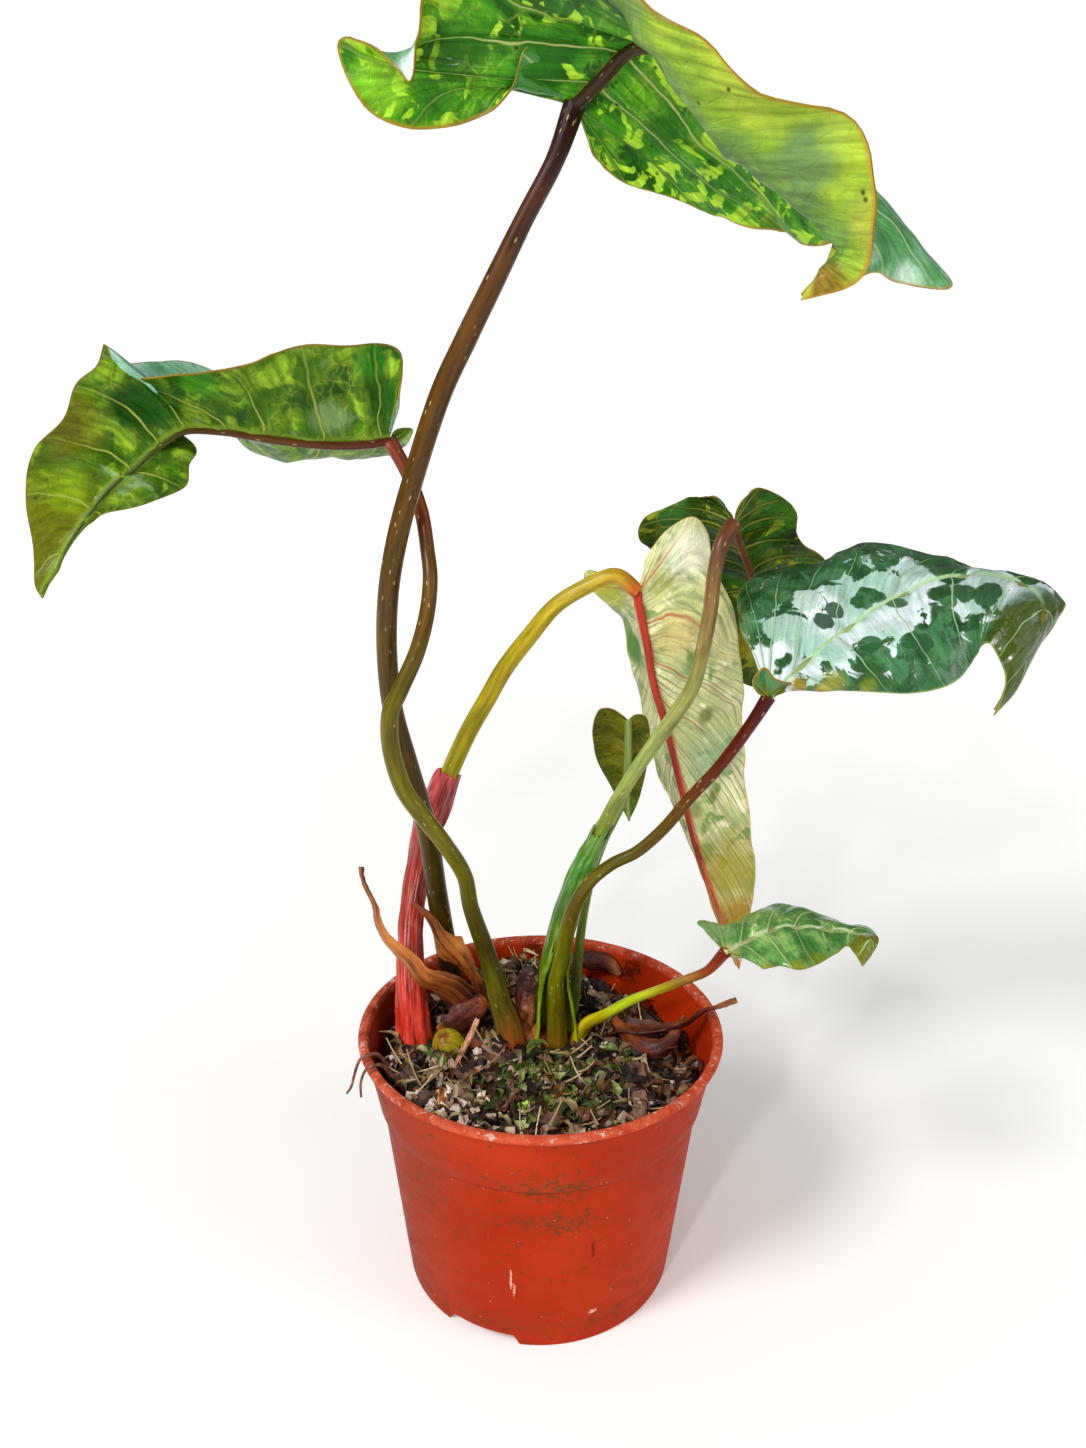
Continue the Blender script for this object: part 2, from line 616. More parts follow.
# %% Leaf finish
def leaf_skin(name, tones, vein, rim, patch=11, blotches=(), silver=None, net=None, fine=None,
              rib=None, veil=None, tip=None, vein_mm=0.7, rim_mm=0.45, halo=0.45, streaks=0.3,
              tints=(), specks="#2f240a", roughness=0.3, specular=0.2, coat=0.05):
    """A waxy leaf face in tones from dark to light. Sizes are in millimetres. Each tint is
    x, y, z, reach, colour and amount, and a 1 for a sharp edge."""
    made = start_material(name)
    place = node("TexCoord", out=3)
    leaf_map = node("UVMap", uv_map="leaf")
    side, phase, _ = parts(leaf_map)
    from_rim, pitch, _ = parts(node("UVMap", uv_map="size"))
    from_rib, along, _ = parts(node("UVMap", uv_map="rib"))
    across = node("Math", {0: side}, operation="ABSOLUTE")
    cloud = clouds(place, patch, 4.0, 0.6)
    sway = clouds(place, 16)
    bent = added(sway, 0.45, phase)
    near = times(comb(bent), pitch)
    line = fade(near, 0.2 * vein_mm, vein_mm, 1.0, 0.0, soft=True)
    line = times(line, fade(across, 0.3, 1.0, 1.0, 0.2))
    colour = ramp(cloud, list(zip(np.linspace(0.3, 0.7, len(tones)), tones)))
    # Patches of another tone between the veins. A positive lean gathers them at the margin.
    for code, mm, low, high, lean in blotches:
        mask = fade(added(across, lean, clouds(place, mm, 3.0, warp=0.8)), low, high, soft=True)
        colour = lay(colour, times(mask, fade(near, 0.2, 1.6)), code)
    if silver:
        code, dull, low, oval = silver
        inner = added(across, -0.42, clouds(place, 9, 5.0, 0.62, 0.8))
        holes = cells(shifted(place, (12, 3.0), 14), oval, 0.8)
        mask = times(fade(inner, low, low + 0.02, soft=True), fade(holes, 0.3, 0.34, soft=True))
        colour = lay(colour, mask, lay(dull, fade(sway, 0.42, 0.58), code))
    net_lines = cells(shifted(place, (5,), 4), 4.5, feature="DISTANCE_TO_EDGE")
    net_lines = fade(net_lines, 0.0, 0.09, 1.0, 0.0, soft=True)
    if net:
        code, amount = net
        colour = lay(colour, times(net_lines, fade(cloud, 0.45, 0.62, 0.0, amount)), code)
    if fine:
        code, amount, count = fine
        mask = fade(comb(times(bent, float(count))), 0.3, 0.5, 0.0, amount, soft=True)
        colour = lay(colour, times(mask, fade(cloud, 0.35, 0.6)), code)
    shadow = fade(near, 0.8 * vein_mm, 4.5 * vein_mm, halo, 0.0, soft=True)
    colour = lay(colour, shadow, tones[0])
    if veil:
        # One side of the leaf, beyond a vein, where light from behind washes the pattern out.
        stops, first = veil
        mask = times(times(fade(phase, first, first + 1.5), fade(side, 0.05, 0.2)), 0.9)
        colour = lay(colour, mask, ramp(added(minus(cloud, 0.5), 0.9, across), stops))
        line = times(line, fade(mask, 0.0, 1.0, 1.0, 0.1))
    for x, y, z, reach, code, amount, *sharp in tints:
        away = added(cloud, 0.9 * reach * MM, distance(place, x, y, z))
        first, last = (1.05, 1.15) if sharp else (0.8, 1.45)
        mask = fade(away, first * reach * MM, last * reach * MM, amount, 0.0, soft=True)
        colour = lay(colour, mask, code)
    if tip:
        code, start = tip
        mask = fade(added(cloud, 0.08, along), start + 0.03, start + 0.07, 0.0, 0.95, soft=True)
        colour = lay(colour, mask, code)
    # Brush-like streaks follow the veins.
    strokes = node("TexNoise", {"Vector": stretched(leaf_map, 1.5, 5.0, 1.0), "Scale": 2.0,
                                "Detail": 4.0, "Roughness": 0.6})
    tone = fade(strokes, 0.3, 0.7, 1 - streaks, 1 + streaks)
    colour = node("VectorMath", {0: colour, 3: tone}, operation="SCALE")
    colour = lay(colour, line, vein)
    if rib:
        code, width = rib
        mask = fade(from_rib, 0.5 * width, width, 0.9, 0.0)
        if tip:
            mask = times(mask, fade(along, tip[1], tip[1] + 0.05, 1.0, 0.0))
        colour = lay(colour, mask, code)
    colour = lay(colour, fade(cells(place, 9), 0.03, 0.08, 0.85, 0.0), specks)
    ragged = added(cloud, -2.4 * rim_mm, from_rim)
    colour = lay(colour, fade(ragged, -1.2 * rim_mm, 0.4 * rim_mm, 0.9, 0.0, soft=True), rim)
    height = added(net_lines, -0.12, clouds(place, 6.5, 3.0, 0.45))
    height = added(line, 0.25, height)
    gloss = fade(cloud, 0.3, 0.7, roughness, roughness + 0.14)
    shade(colour, gloss, height, 0.8, 0.9, IOR=1.3, Specular_IOR_Level=specular,
          Coat_Weight=coat, Coat_Roughness=0.12)
    return made


# %% [markdown]
# ## The skin of a stem
# Petioles are smooth, firm and waxy, with a colour that changes from the soil to the blade and
# small pale flecks drawn out along the stem. The colour runs along `grain`, whose third value
# is the way from the foot, and the flecks are cells in the same coordinates, three times as
# long as they are wide.

# %% Stem finish
def along_grain(length, stops, mm, drift):
    """Colours along a piece's length, a little uneven. Also returns the grain and the clouds."""
    grain = node("Attribute", out=1, attribute_name="grain")
    cloud = clouds(node("TexCoord", out=3), mm, 3.0)
    drift = drift * length * MM
    way = added(cloud, drift, parts(grain)[2])
    return grain, cloud, ramp(fade(way, 0.5 * drift, 0.5 * drift + length * MM), stops)


def stem_skin(name, length, stops, fleck="#c9b878", flecks=0.6):
    """A waxy stem whose colours run along its length in millimetres."""
    made = start_material(name)
    grain, cloud, colour = along_grain(length, stops, 9, 0.12)
    streak = clouds(stretched(grain, 1.0, 1.0, 0.12), 1.6, 3.0)
    colour = node("VectorMath", {0: colour, 3: fade(streak, 0.3, 0.7, 0.6, 1.35)},
                  operation="SCALE")
    mask = fade(cells(stretched(grain, 1.0, 1.0, 0.32), 1.5), 0.1, 0.2, flecks, 0.0)
    colour = lay(colour, times(mask, fade(cloud, 0.42, 0.6)), fleck)
    shade(colour, 0.3, streak, 0.3, 0.3, IOR=1.4, Specular_IOR_Level=0.22,
          Coat_Weight=0.06, Coat_Roughness=0.15)
    return made


# %% [markdown]
# ## The top leaf
# The tallest leaf arches over the whole plant. From the front mostly its underside shows, lit
# through: bright green clouded with lime, with darker pools between the veins, a purple-brown
# midrib and an orange-brown margin. Its tip rolls over and shows the cooler, waxier upper face.

# %% Top leaf
LEAF_TOP = {
    "fan": 0.3, "veins": 13, "rib_radius": (1.9, 0.5),
    "rib": [(7, 0, 360), (14, -8, 365), (22, -17, 369.5), (31, -34, 363), (42, -52, 348),
            (52, -68, 336), (58, -79, 324), (56, -85, 314), (50, -88, 307)],
    "left": {"arch": 0.04, "edge": [
        (10, 5, 358), (12, 10, 351), (17, 15, 347), (26, 18, 343), (43, 16, 338), (54, 10, 333),
        (65, 2, 331), (68, -4, 327), (73, -16, 326), (75, -34, 330), (79, -50, 326), (83, -58, 320),
        (86, -66, 311), (75, -72, 312), (66, -78, 313), (57, -84, 309)]},
    "right": {"edge": [
        (4, -2, 368), (0, -5, 372), (-6, -6, 371), (-9, -4, 364), (-15, 1, 359), (-24, 5, 356),
        (-37, 4, 355), (-48, 3, 360), (-54, 0, 373), (-44, -6, 371), (-34, -10, 362),
        (-31, -10, 376), (-25, -22, 387), (-8, -44, 390), (8, -66, 378), (18, -78, 361),
        (28, -84, 353), (38, -90, 343), (55, -95, 337), (60, -97, 326), (61, -95, 318),
        (61, -92, 312), (58, -90, 309)],
        "belly": [
        (5, -1, 364), (2, -3, 366), (-2, -4, 367), (-5, -3, 364), (-11, 2, 365), (-18, 2, 364),
        (-25, 2, 365), (-30, 0, 367), (-31, -2, 369), (-27, -4, 373), (-19, -8, 377),
        (-12, -14, 381), (-3, -27, 385), (5, -45, 377), (12, -59, 367), (21, -67, 352.5),
        (31, -75, 339), (44, -80, 328), (56, -86, 318), (55, -88, 314), (53, -89, 311)]},
}
top_under = leaf_skin(
    "waxy_leaf_underside_bright", ("#1f5a0a", "#3f8a12", "#6aac1e"), vein="#a4b864", rim="#a87c24",
    vein_mm=0.55, rim_mm=0.8, rib=("#b0a83a", 2.4), net=("#b4cc50", 0.35),
    blotches=(("#1c5208", 14, 0.5, 0.6, -0.05), ("#a8d832", 6.5, 0.61, 0.66, 0.14)), streaks=0.38,
    fine=("#1f4c0c", 0.35, 3),
    veil=([(0.0, "#34542a"), (0.35, "#4f7040"), (0.65, "#678a3c"), (0.85, "#7f9c2c"),
           (1.0, "#9aac34")],
          6.6),
    tints=((-22, -4, 371, 12, "#1a4c0c", 0.85), (-20, -3, 379, 10, "#2f7a14", 0.75),
           (-2, -5, 370, 9, "#286a10", 0.75), (-43, 2, 365, 10, "#8cc428", 0.6),
           (30, 0, 353, 9, "#1f5a0c", 0.7), (62, 2, 332, 8, "#184a0a", 0.7),
           (66, -80, 316, 9, "#8a8a20", 0.7), (54, -88, 309, 7, "#86641a", 0.85),
           (49, -88, 331, 9, "#56784c", 0.7), (54, -91, 335, 5, "#94ac3c", 0.6),
           (60, -94, 320, 6, "#a0a43c", 0.6)))
top_upper = leaf_skin(
    "waxy_leaf_upper_mint", ("#3a7a3a", "#5a9a5c", "#8cc49a"), specular=0.5, vein="#a8cc90",
    rim="#b5892c", net=("#3f8452", 0.4), roughness=0.24, coat=0.4,
    tints=((-2, -4, 366, 13, "#2f7418", 0.95), (-33, -8, 366, 7, "#dfeaf0", 0.8),
           (76, -72, 312, 6, "#cfe4d0", 0.6)))
vein_brown = stem_skin("rib_purple_brown", 150,
                       [(0.0, "#2c1812"), (0.25, "#4a3614"), (0.6, "#6a6a1c"), (1.0, "#8f9a38")])
rim_olive = leaf_skin("leaf_rim_olive", ("#6f6418", "#a88a30"), vein="#8a7020", rim="#8a7020")
blade_top = blade("leaf_top", LEAF_TOP, (top_upper, top_under, rim_olive, vein_brown), rows=150,
                  cols=28)
dress(blade_top, ["blade_top"], "leaf_bright")

# %% [markdown]
# ## The left leaf
# It is seen nearly on edge and from below: a green shield whose tip hangs down and has aged to
# olive, with fine dark curved veins. A strip of its far half shows the mint-grey upper face.

# %% Left leaf
LEAF_LEFT = {
    "fan": 0.22, "veins": 12, "rib_radius": (1.3, 0.25),
    "rib": [(-46, 16, 275), (-60, 14, 274), (-75, 12, 275), (-87, 10, 277), (-94, 8, 278),
            (-103, 5, 278), (-109, 2, 274), (-115, -1, 268), (-123, -5, 261), (-131, -10, 250),
            (-137, -14, 239), (-140, -16, 233)],
    "left": {"arch": 0, "edge": [
        (-45, 13, 281), (-42, 10, 289), (-41, 8, 297), (-44, 8, 301), (-54, 4, 301), (-65, 2, 301),
        (-76, 0, 298), (-85, 0, 295), (-101, -1, 293), (-117, -1, 292), (-119, -4, 301),
        (-122, -5, 295), (-128, -6, 290), (-132, -7, 281), (-140, -9, 273), (-143, -11, 262),
        (-142, -13, 247), (-142, -15, 237)]},
    "right": {"arch": -0.1, "edge": [
        (-44, 19, 278), (-40, 23, 278), (-41, 27, 275), (-46, 34, 271), (-55, 42, 269),
        (-67, 48, 269), (-76, 50, 271), (-85, 50, 270), (-94, 47, 270), (-100, 44, 275),
        (-103, 46, 284), (-105, 48, 292), (-112, 46, 296), (-122, 38, 297), (-127, 28, 295),
        (-121, 20, 287), (-110, 13, 279), (-101, 9, 273), (-102, 5, 268), (-103, 2, 262),
        (-112, -2, 258), (-123, -6, 255), (-130, -9, 251), (-135, -12, 244), (-138, -15, 237)]},
}
left_under = leaf_skin(
    "waxy_leaf_underside_olive", ("#244a06", "#46700a", "#76941a"), vein="#98a844", rim="#7a641c",
    vein_mm=0.5, rib=("#6f8a24", 2.0), net=("#a4b848", 0.3),
    blotches=(("#1f4c0a", 12, 0.5, 0.66, 0.0), ("#74905c", 8, 0.56, 0.7, -0.08),
              ("#86ac24", 8.5, 0.54, 0.7, 0.04)),
    fine=("#2a4a06", 0.5, 3), streaks=0.36,
    tints=((-138, -10, 250, 25, "#626406", 0.85), (-130, -7, 280, 12, "#66640a", 0.8),
           (-133, -9, 262, 8, "#83a414", 0.6), (-114, -2, 284, 12, "#123f06", 0.9),
           (-105, 1, 286, 9, "#164a06", 0.8), (-47, 12, 286, 8, "#1c5a0a", 0.85),
           (-62, 10, 281, 7, "#86a468", 0.6), (-96, 1, 291, 8, "#3f8f10", 0.6),
           (-50, 8, 297, 7, "#2c7a14", 0.7)))
left_upper = leaf_skin(
    "waxy_leaf_upper_grey_mint", ("#4f8f5c", "#7fb094", "#a5c8b4"), specular=0.5,
    vein="#b9d0a0", rim="#8a742c", net=("#4f8452", 0.3), roughness=0.24, coat=0.4)
vein_red_brown = stem_skin(
    "rib_red_brown", 140,
    [(0.0, "#4f2418"), (0.4, "#4f3412"), (0.5, "#3c4c0c"), (0.8, "#4c600a"), (1.0, "#6c6c14")])
blade_left = blade("leaf_left", LEAF_LEFT, (left_upper, left_under, rim_olive, vein_red_brown),
                   rows=140, cols=24)
dress(blade_left, ["blade_left"], "leaf_bright")

# %% [markdown]
# ## The newest leaf
# A young blade hangs straight down behind the others. It has hardly any green yet: cream with a
# greener middle, a coral-red midrib, orange side veins and fine pale parallel lines.

# %% New leaf
LEAF_NEW = {
    "fan": 0.3, "veins": 13, "sweep": 0.22, "bow": 0.62, "rib_radius": (1.5, 0.5),
    "rib": [(30, 28, 228), (34, 29, 212), (37, 30, 197), (42, 32, 181), (48, 35, 159),
            (55, 39, 134), (64, 44, 109), (75, 50, 80)],
    "left": {"arch": 0.06, "edge": [
        (27, 32, 231), (20, 38, 231), (16, 42, 233), (13.5, 44, 230), (18.5, 46, 223.5),
        (23, 50, 218), (27, 56, 212), (30, 60, 200), (34, 62, 186), (38, 63, 169), (43, 62, 154),
        (50, 60, 139), (57, 58, 121), (64, 55, 104)]},
    "right": {"arch": -0.05, "edge": [
        (32, 28, 233), (33, 28, 240), (39, 27, 248), (46, 27, 252), (51, 28, 247), (54, 30, 237),
        (61, 34, 223), (65, 37, 207), (68, 40, 189), (71, 44, 162), (75, 47, 138), (78, 49, 118),
        (77, 50, 99)]},
}
new_under = leaf_skin(
    "young_leaf_cream", ("#a4b470", "#c8cc8c", "#e4dfae"), patch=16, vein="#c4784a", rim="#c8b070",
    vein_mm=0.45, rim_mm=0.5, halo=0.12, rib=("#c8583a", 1.6), specks="#5a3412",
    blotches=(("#7f9c54", 12, 0.54, 0.64, 0.0), ("#ece6bc", 9, 0.58, 0.68, 0.0)),
    fine=("#5f6a2c", 0.7, 5), streaks=0.36, roughness=0.36, specular=0.35, coat=0.1,
    tints=((45, 28, 241, 12, "#f4f2d8", 0.85), (37, 27, 231, 6, "#9aa040", 0.6),
           (43, 29, 214, 10, "#dcc47c", 0.7), (60, 34, 209, 10, "#e8dca0", 0.6),
           (49, 32, 201, 5, "#6f9a60", 0.7), (58, 37, 168, 15, "#94ac84", 0.75),
           (55, 34, 185, 4, "#5c5c14", 0.7), (60, 39, 155, 4, "#6c6c1c", 0.6),
           (53, 37, 150, 4, "#5f7a1c", 0.6), (68, 44, 124, 20, "#9c9018", 0.8),
           (73, 48, 100, 17, "#a88410", 0.9), (58, 40, 132, 7, "#7c8a28", 0.6),
           (20, 41, 226, 12, "#b4b82c", 0.85), (31, 54, 203, 11, "#3f7a14", 0.95),
           (37, 62, 176, 9, "#c8cc90", 0.8)))
new_upper = leaf_skin(
    "young_leaf_upper", ("#7f9e4a", "#a8b86a", "#cdd496"),
    vein="#cf8a5a", rim="#c8a860", roughness=0.3, tints=((31, 54, 203, 14, "#3f7a14", 0.9),))
rim_cream = leaf_skin("leaf_rim_cream", ("#c9b070", "#e4dcae"), vein="#d0b878", rim="#d0b878")
vein_coral = stem_skin(
    "rib_coral_red", 155, [(0.0, "#b03420"), (0.6, "#98341c"), (0.85, "#a86430"), (1.0, "#b89848")],
    fleck="#e8a080", flecks=0.3)
blade_new = blade("leaf_new", LEAF_NEW, (new_upper, new_under, rim_cream, vein_coral), rows=140,
                  cols=20)
dress(blade_new, ["blade_new"], "leaf_pale")

# %% [markdown]
# ## The back leaf and the small leaf
# Both hang behind the others in the shade and show dark olive undersides, with a red-brown
# midrib on the larger and a pale one on the smaller.

# %% Back leaf
LEAF_BACK = {
    "fan": 0.34, "veins": 11, "rib_radius": (1.3, 0.5),
    "rib": [(58, 20, 251), (61, 29, 245), (67, 40, 234), (73, 51, 221), (80, 62, 205),
            (92, 74, 184)],
    "left": {"arch": 0.06, "edge": [
        (57, 24, 254), (53, 31, 257), (50, 38, 257), (45, 42, 256), (39, 46, 252), (33, 49, 248),
        (32, 52, 243), (36, 55, 239), (42, 58, 234), (49, 63, 217), (59, 68, 200), (72, 71, 187),
        (81, 73, 184)]},
    "right": {"arch": 0.06, "edge": [
        (59, 20, 256), (62, 21, 259), (66, 23, 261), (74, 29, 258), (80, 35, 253), (82, 41, 246),
        (86, 46, 241), (95, 52, 235), (104, 60, 220), (106, 68, 204), (101, 73, 191)]},
}
back_under = leaf_skin(
    "waxy_leaf_underside_dark", ("#1a3005", "#324a0a", "#5a7012"), vein="#7f8430", rim="#6f5a1c",
    vein_mm=0.5, net=("#7f9a38", 0.3), rib=("#6f5a20", 1.8),
    blotches=(("#2c601c", 12, 0.53, 0.6, 0.0), ("#86901c", 8, 0.6, 0.66, 0.05)), streaks=0.4,
    specular=0.2, coat=0.08,
    tints=((88, 68, 200, 18, "#8f8c1a", 0.8), (74, 64, 204, 8, "#a89a1c", 0.7),
           (42, 42, 250, 8, "#2c6428", 0.6), (78, 32, 252, 10, "#3a7020", 0.6),
           (64, 34, 242, 8, "#2a3c08", 0.7)))
back_upper = leaf_skin(
    "waxy_leaf_upper_dark", ("#24502c", "#2f6438", "#447a4a"), specular=0.45, vein="#8fae78",
    rim="#8a7a3a", silver=("#b4ccbc", "#8fb09c", 0.4, 14), roughness=0.26, coat=0.35)
vein_dull_red = stem_skin("rib_dull_red", 100,
                          [(0.0, "#6a3420"), (0.5, "#6f4a20"), (1.0, "#8f8a30")])
blade_back = blade("leaf_back", LEAF_BACK, (back_upper, back_under, rim_olive, vein_dull_red),
                   rows=120, cols=22)
dress(blade_back, ["blade_back"], "leaf_dark")

# %% Small leaf
LEAF_SMALL = {
    "fan": 0.34, "veins": 9, "rib_radius": (0.8, 0.5),
    "rib": [(29, 38, 182), (30, 41, 169), (30, 44, 155), (31, 46, 142)],
    "left": {"arch": 0.08, "edge": [
        (27, 37, 184), (23, 36, 187), (19, 36, 187), (17, 37, 183), (17, 39, 176), (19, 42, 166),
        (24, 44, 156), (28, 45, 148)]},
    "right": {"arch": 0.08, "edge": [
        (31, 38, 184), (34, 38, 184), (36, 39, 181), (37, 41, 172), (36, 44, 160), (34, 45, 150)]},
}
small_under = leaf_skin(
    "waxy_leaf_underside_small", ("#50540a", "#6e6c12", "#8a8428"), vein="#6f7a24", rim="#5a5a1c",
    net=("#8a9a50", 0.2), roughness=0.3, rim_mm=0.3, vein_mm=0.3, rib=("#8a9a40", 1.2),
    blotches=(("#4c560c", 9, 0.5, 0.72, 0.12),), fine=("#343c06", 0.4, 3), streaks=0.32,
    tints=((19, 37, 185, 4, "#4c6410", 0.6), (30, 45, 148, 6, "#4c7a14", 0.7)))
vein_pale = stem_skin("rib_pale_green", 60, [(0.0, "#b4b880"), (0.5, "#98a060"), (1.0, "#6a8a34")],
                      flecks=0.1)
blade_small = blade("leaf_small", LEAF_SMALL, (back_upper, small_under, rim_olive, vein_pale),
                    rows=80, cols=14, thickness=0.45)
dress(blade_small, ["blade_small"], "leaf_dark")

# %% [markdown]
# ## The right leaf
# This one is turned to the viewer: a dark blue-green upper face, silvered in broad blotches
# along the midrib and the veins, with dark oval islands left in the silver. At the tip the
# blade rolls over and its olive underside shows.

# %% Right leaf
LEAF_RIGHT = {
    "fan": 0.34, "veins": 12, "rib_radius": (1.4, 0.5),
    "rib": [(67, -5, 203), (79, 4, 211), (95, 15, 220), (114, 24, 229), (132, 23, 235),
            (146, 14, 234), (149, 3, 226), (141, -3, 210), (134, -6, 198)],
    "left": {"arch": 0.1, "edge": [
        (66, 5, 209), (63, 19, 217), (62, 30, 223), (67, 39, 229), (75, 44, 232), (85, 45, 234),
        (92, 43, 235), (102, 50, 239), (113, 52, 241), (127, 43, 238), (140, 32, 235),
        (153, 25, 231), (160, 14, 229), (155, 8, 223), (148, 3, 216), (141, -3, 205)]},
    "right": {"arch": 0.12, "edge": [
        (63, -8, 205), (61, -9, 209), (64, -9, 213), (68, -12, 210), (77, 1, 205), (85, 0, 204),
        (95, -2, 204), (109, -4, 204), (119, -4, 206), (126, 0, 209), (132, 6, 215), (133, 2, 218),
        (136, -1, 213), (137, -4, 207)]},
}
right_upper = leaf_skin(
    "silvered_leaf_upper", ("#1c4020", "#305a30", "#56865a"), patch=9, vein="#a4c890",
    rim="#8a9a4a", silver=("#dfeaec", "#a0c2b2", 0.27, 19), roughness=0.24, rib=("#b4d49a", 1.3),
    specular=0.5, coat=0.3, vein_mm=0.35, halo=0.2, tip=("#40500a", 0.77), streaks=0.28,
    blotches=(("#44784c", 8, 0.54, 0.66, 0.06),),
    tints=((118, -3, 206, 9, "#34643a", 0.85), (98, -1, 206, 8, "#2c5428", 0.85),
           (76, -2, 205, 4, "#a08a2c", 0.8), (84, -1, 204, 4, "#b0983c", 0.8),
           (96, -4, 203.5, 3, "#8a7a24", 0.8), (64, 17, 219, 7, "#4c7c54", 0.8),
           (124, 40, 238, 10, "#2c5830", 0.6), (73, 15, 222, 6.8, "#26502e", 0.92, 1),
           (69, 21, 226, 5.0, "#3a6c40", 0.92, 1), (86, 14, 221, 5.3, "#264c34", 0.95, 1),
           (90, 18, 224.5, 4.7, "#2c5438", 0.95, 1), (99, 6, 216, 5.1, "#2a5a30", 0.95, 1),
           (110, 5, 217, 5.3, "#2a5630", 0.95, 1), (114, 4.5, 217.5, 4.7, "#2a5630", 0.95, 1),
           (110, 19, 226.5, 5.6, "#34643a", 0.95, 1), (123, 17.5, 230, 5.9, "#285228", 0.95, 1),
           (129, 16, 230.5, 6.2, "#2c5a2a", 0.95, 1), (135, 13, 230.5, 6.5, "#265026", 0.95, 1),
           (63, -8, 207, 6, "#86ac80", 0.9), (70, -4, 206, 2.2, "#b0843c", 0.9),
           (74, 12, 219, 9, "#a9c6b6", 0.9, 1), (83, 22, 226, 8, "#b4ccc0", 0.9, 1),
           (87, -2, 207, 5, "#8a8a24", 0.8), (97, -4, 206, 4, "#7c8c20", 0.7)))
right_under = leaf_skin(
    "waxy_leaf_underside_tip", ("#30440a", "#4c600c", "#707814"), vein="#8f8f34", rim="#9a701c",
    net=("#8f9a3a", 0.2), roughness=0.32, rim_mm=0.35,
    tints=((64, -9, 209, 9, "#5f9460", 0.95), (134, -6, 200, 7, "#8a5c14", 0.7),
           (137, -2, 208, 9, "#3c4a0c", 0.6)))
vein_mint = stem_skin(
    "rib_mint", 130, [(0.0, "#8fa060"), (0.72, "#8fa060"), (0.82, "#6f6a14"), (1.0, "#8a6414")],
    flecks=0.1)
blade_right = blade("leaf_right", LEAF_RIGHT, (right_upper, right_under, rim_olive, vein_mint),
                    rows=140, cols=24)
dress(blade_right, ["blade_right"], "leaf_dark")

# %% [markdown]
# ## The low leaf
# A small leaf just over the rim at the right. Its upper face is fresh green with pale veins,
# a few silver flakes and a yellow-olive tip.

# %% Low leaf
LEAF_LOW = {
    "fan": 0.3, "veins": 10, "rib_radius": (0.9, 0.5),
    "rib": [(55, -25, 129), (64, -18, 130), (74, -13, 131), (84, -11, 130), (95, -11, 129),
            (100, -20, 131), (97, -24, 124)],
    "left": {"arch": 0.08, "edge": [
        (51, -17, 131), (48, -14, 133), (52, -9, 131), (57, -8, 130), (65, -3, 130), (76, 5, 130),
        (84, 5, 129), (90, 1, 129), (98, -4, 128), (103, -7, 128), (103, -18, 130),
        (100, -22, 127)]},
    "right": {"arch": 0.08, "edge": [
        (58, -23, 126), (61, -22, 126), (65, -25, 126), (68, -27, 125), (72, -26, 125),
        (77, -28, 125), (83, -25, 125), (90, -20, 126), (94, -17, 127), (95, -23, 127)]},
}
low_upper = leaf_skin(
    "waxy_leaf_upper_fresh", ("#38642c", "#578a42", "#88b05e"), patch=8, vein="#a4be78",
    rim="#7a7a24", net=("#a4c874", 0.35), vein_mm=0.5, rim_mm=0.35, roughness=0.22, specular=0.5,
    coat=0.35, rib=("#bcd09c", 1.1), streaks=0.32, halo=0.0, tip=("#6c6c10", 0.82),
    blotches=(("#94b468", 7, 0.5, 0.66, -0.2), ("#b4cc84", 4, 0.56, 0.64, -0.3)),
    tints=((54, -15, 131, 7, "#86a468", 0.8), (80, -21, 128, 7, "#34682a", 0.75),
           (84, -25, 125.5, 5, "#70801a", 0.9), (77, -28, 125, 4, "#7c861c", 0.9),
           (67, -27, 125, 2.6, "#8a8c1c", 0.9), (70, 1, 131, 7, "#3f7840", 0.6),
           (57, -23, 128, 4, "#b0ac74", 0.7)))
blade_low = blade("leaf_low", LEAF_LOW, (low_upper, right_under, rim_olive, vein_pale), rows=90,
                  cols=16, thickness=0.45)
dress(blade_low, ["blade_low"], "leaf_bright")

# %% [markdown]
# ## Petioles
# Each leaf stands on its own petiole. They are firm, round and slightly swollen at both ends,
# and each has aged in its own way: the oldest are olive-brown, the newest is golden, and the
# ones that carry dark leaves turn red-brown near the blade.

# %% Routes of the petioles: x, y, z and radius
STEM_TOP = [
    (-31, 37, 67, 4.4), (-32, 34, 82, 4.1), (-34, 29, 102, 3.8), (-36, 23, 125, 3.6),
    (-38, 17, 150, 3.4), (-43, 13, 174, 3.3), (-47, 11, 193, 3.2), (-48, 9, 211, 3.2),
    (-47, 8, 229, 3.2), (-44, 7, 245, 3.2), (-39, 6, 262, 3.1), (-30, 4, 287, 3.1),
    (-22, 3, 303, 3.1), (-14, 2, 318, 2.9), (-6, 1, 333, 2.55), (2, 0, 347, 2.5), (7, 0, 360, 3)]
STEM_LEFT = [
    (-10, 8, 71, 5.6), (-11, 8, 81, 4.6), (-14, 8, 92, 3.7), (-18, 8, 109, 3.1), (-23, 6, 127, 2.7),
    (-25, 4, 140, 2.6), (-31, 0, 153, 2.7), (-38, -2, 164, 2.8), (-43, -3, 173, 2.8),
    (-46, -3, 185, 2.8), (-46, -3, 196, 2.7), (-43, -2, 203, 2.6), (-38, 1, 214, 2.5),
    (-35, 4, 225, 2.4), (-34, 7, 235, 2.3), (-35, 11, 243, 2.2), (-37, 15, 254, 2.2),
    (-41, 17, 265, 2.1), (-46, 16, 275, 2.2)]
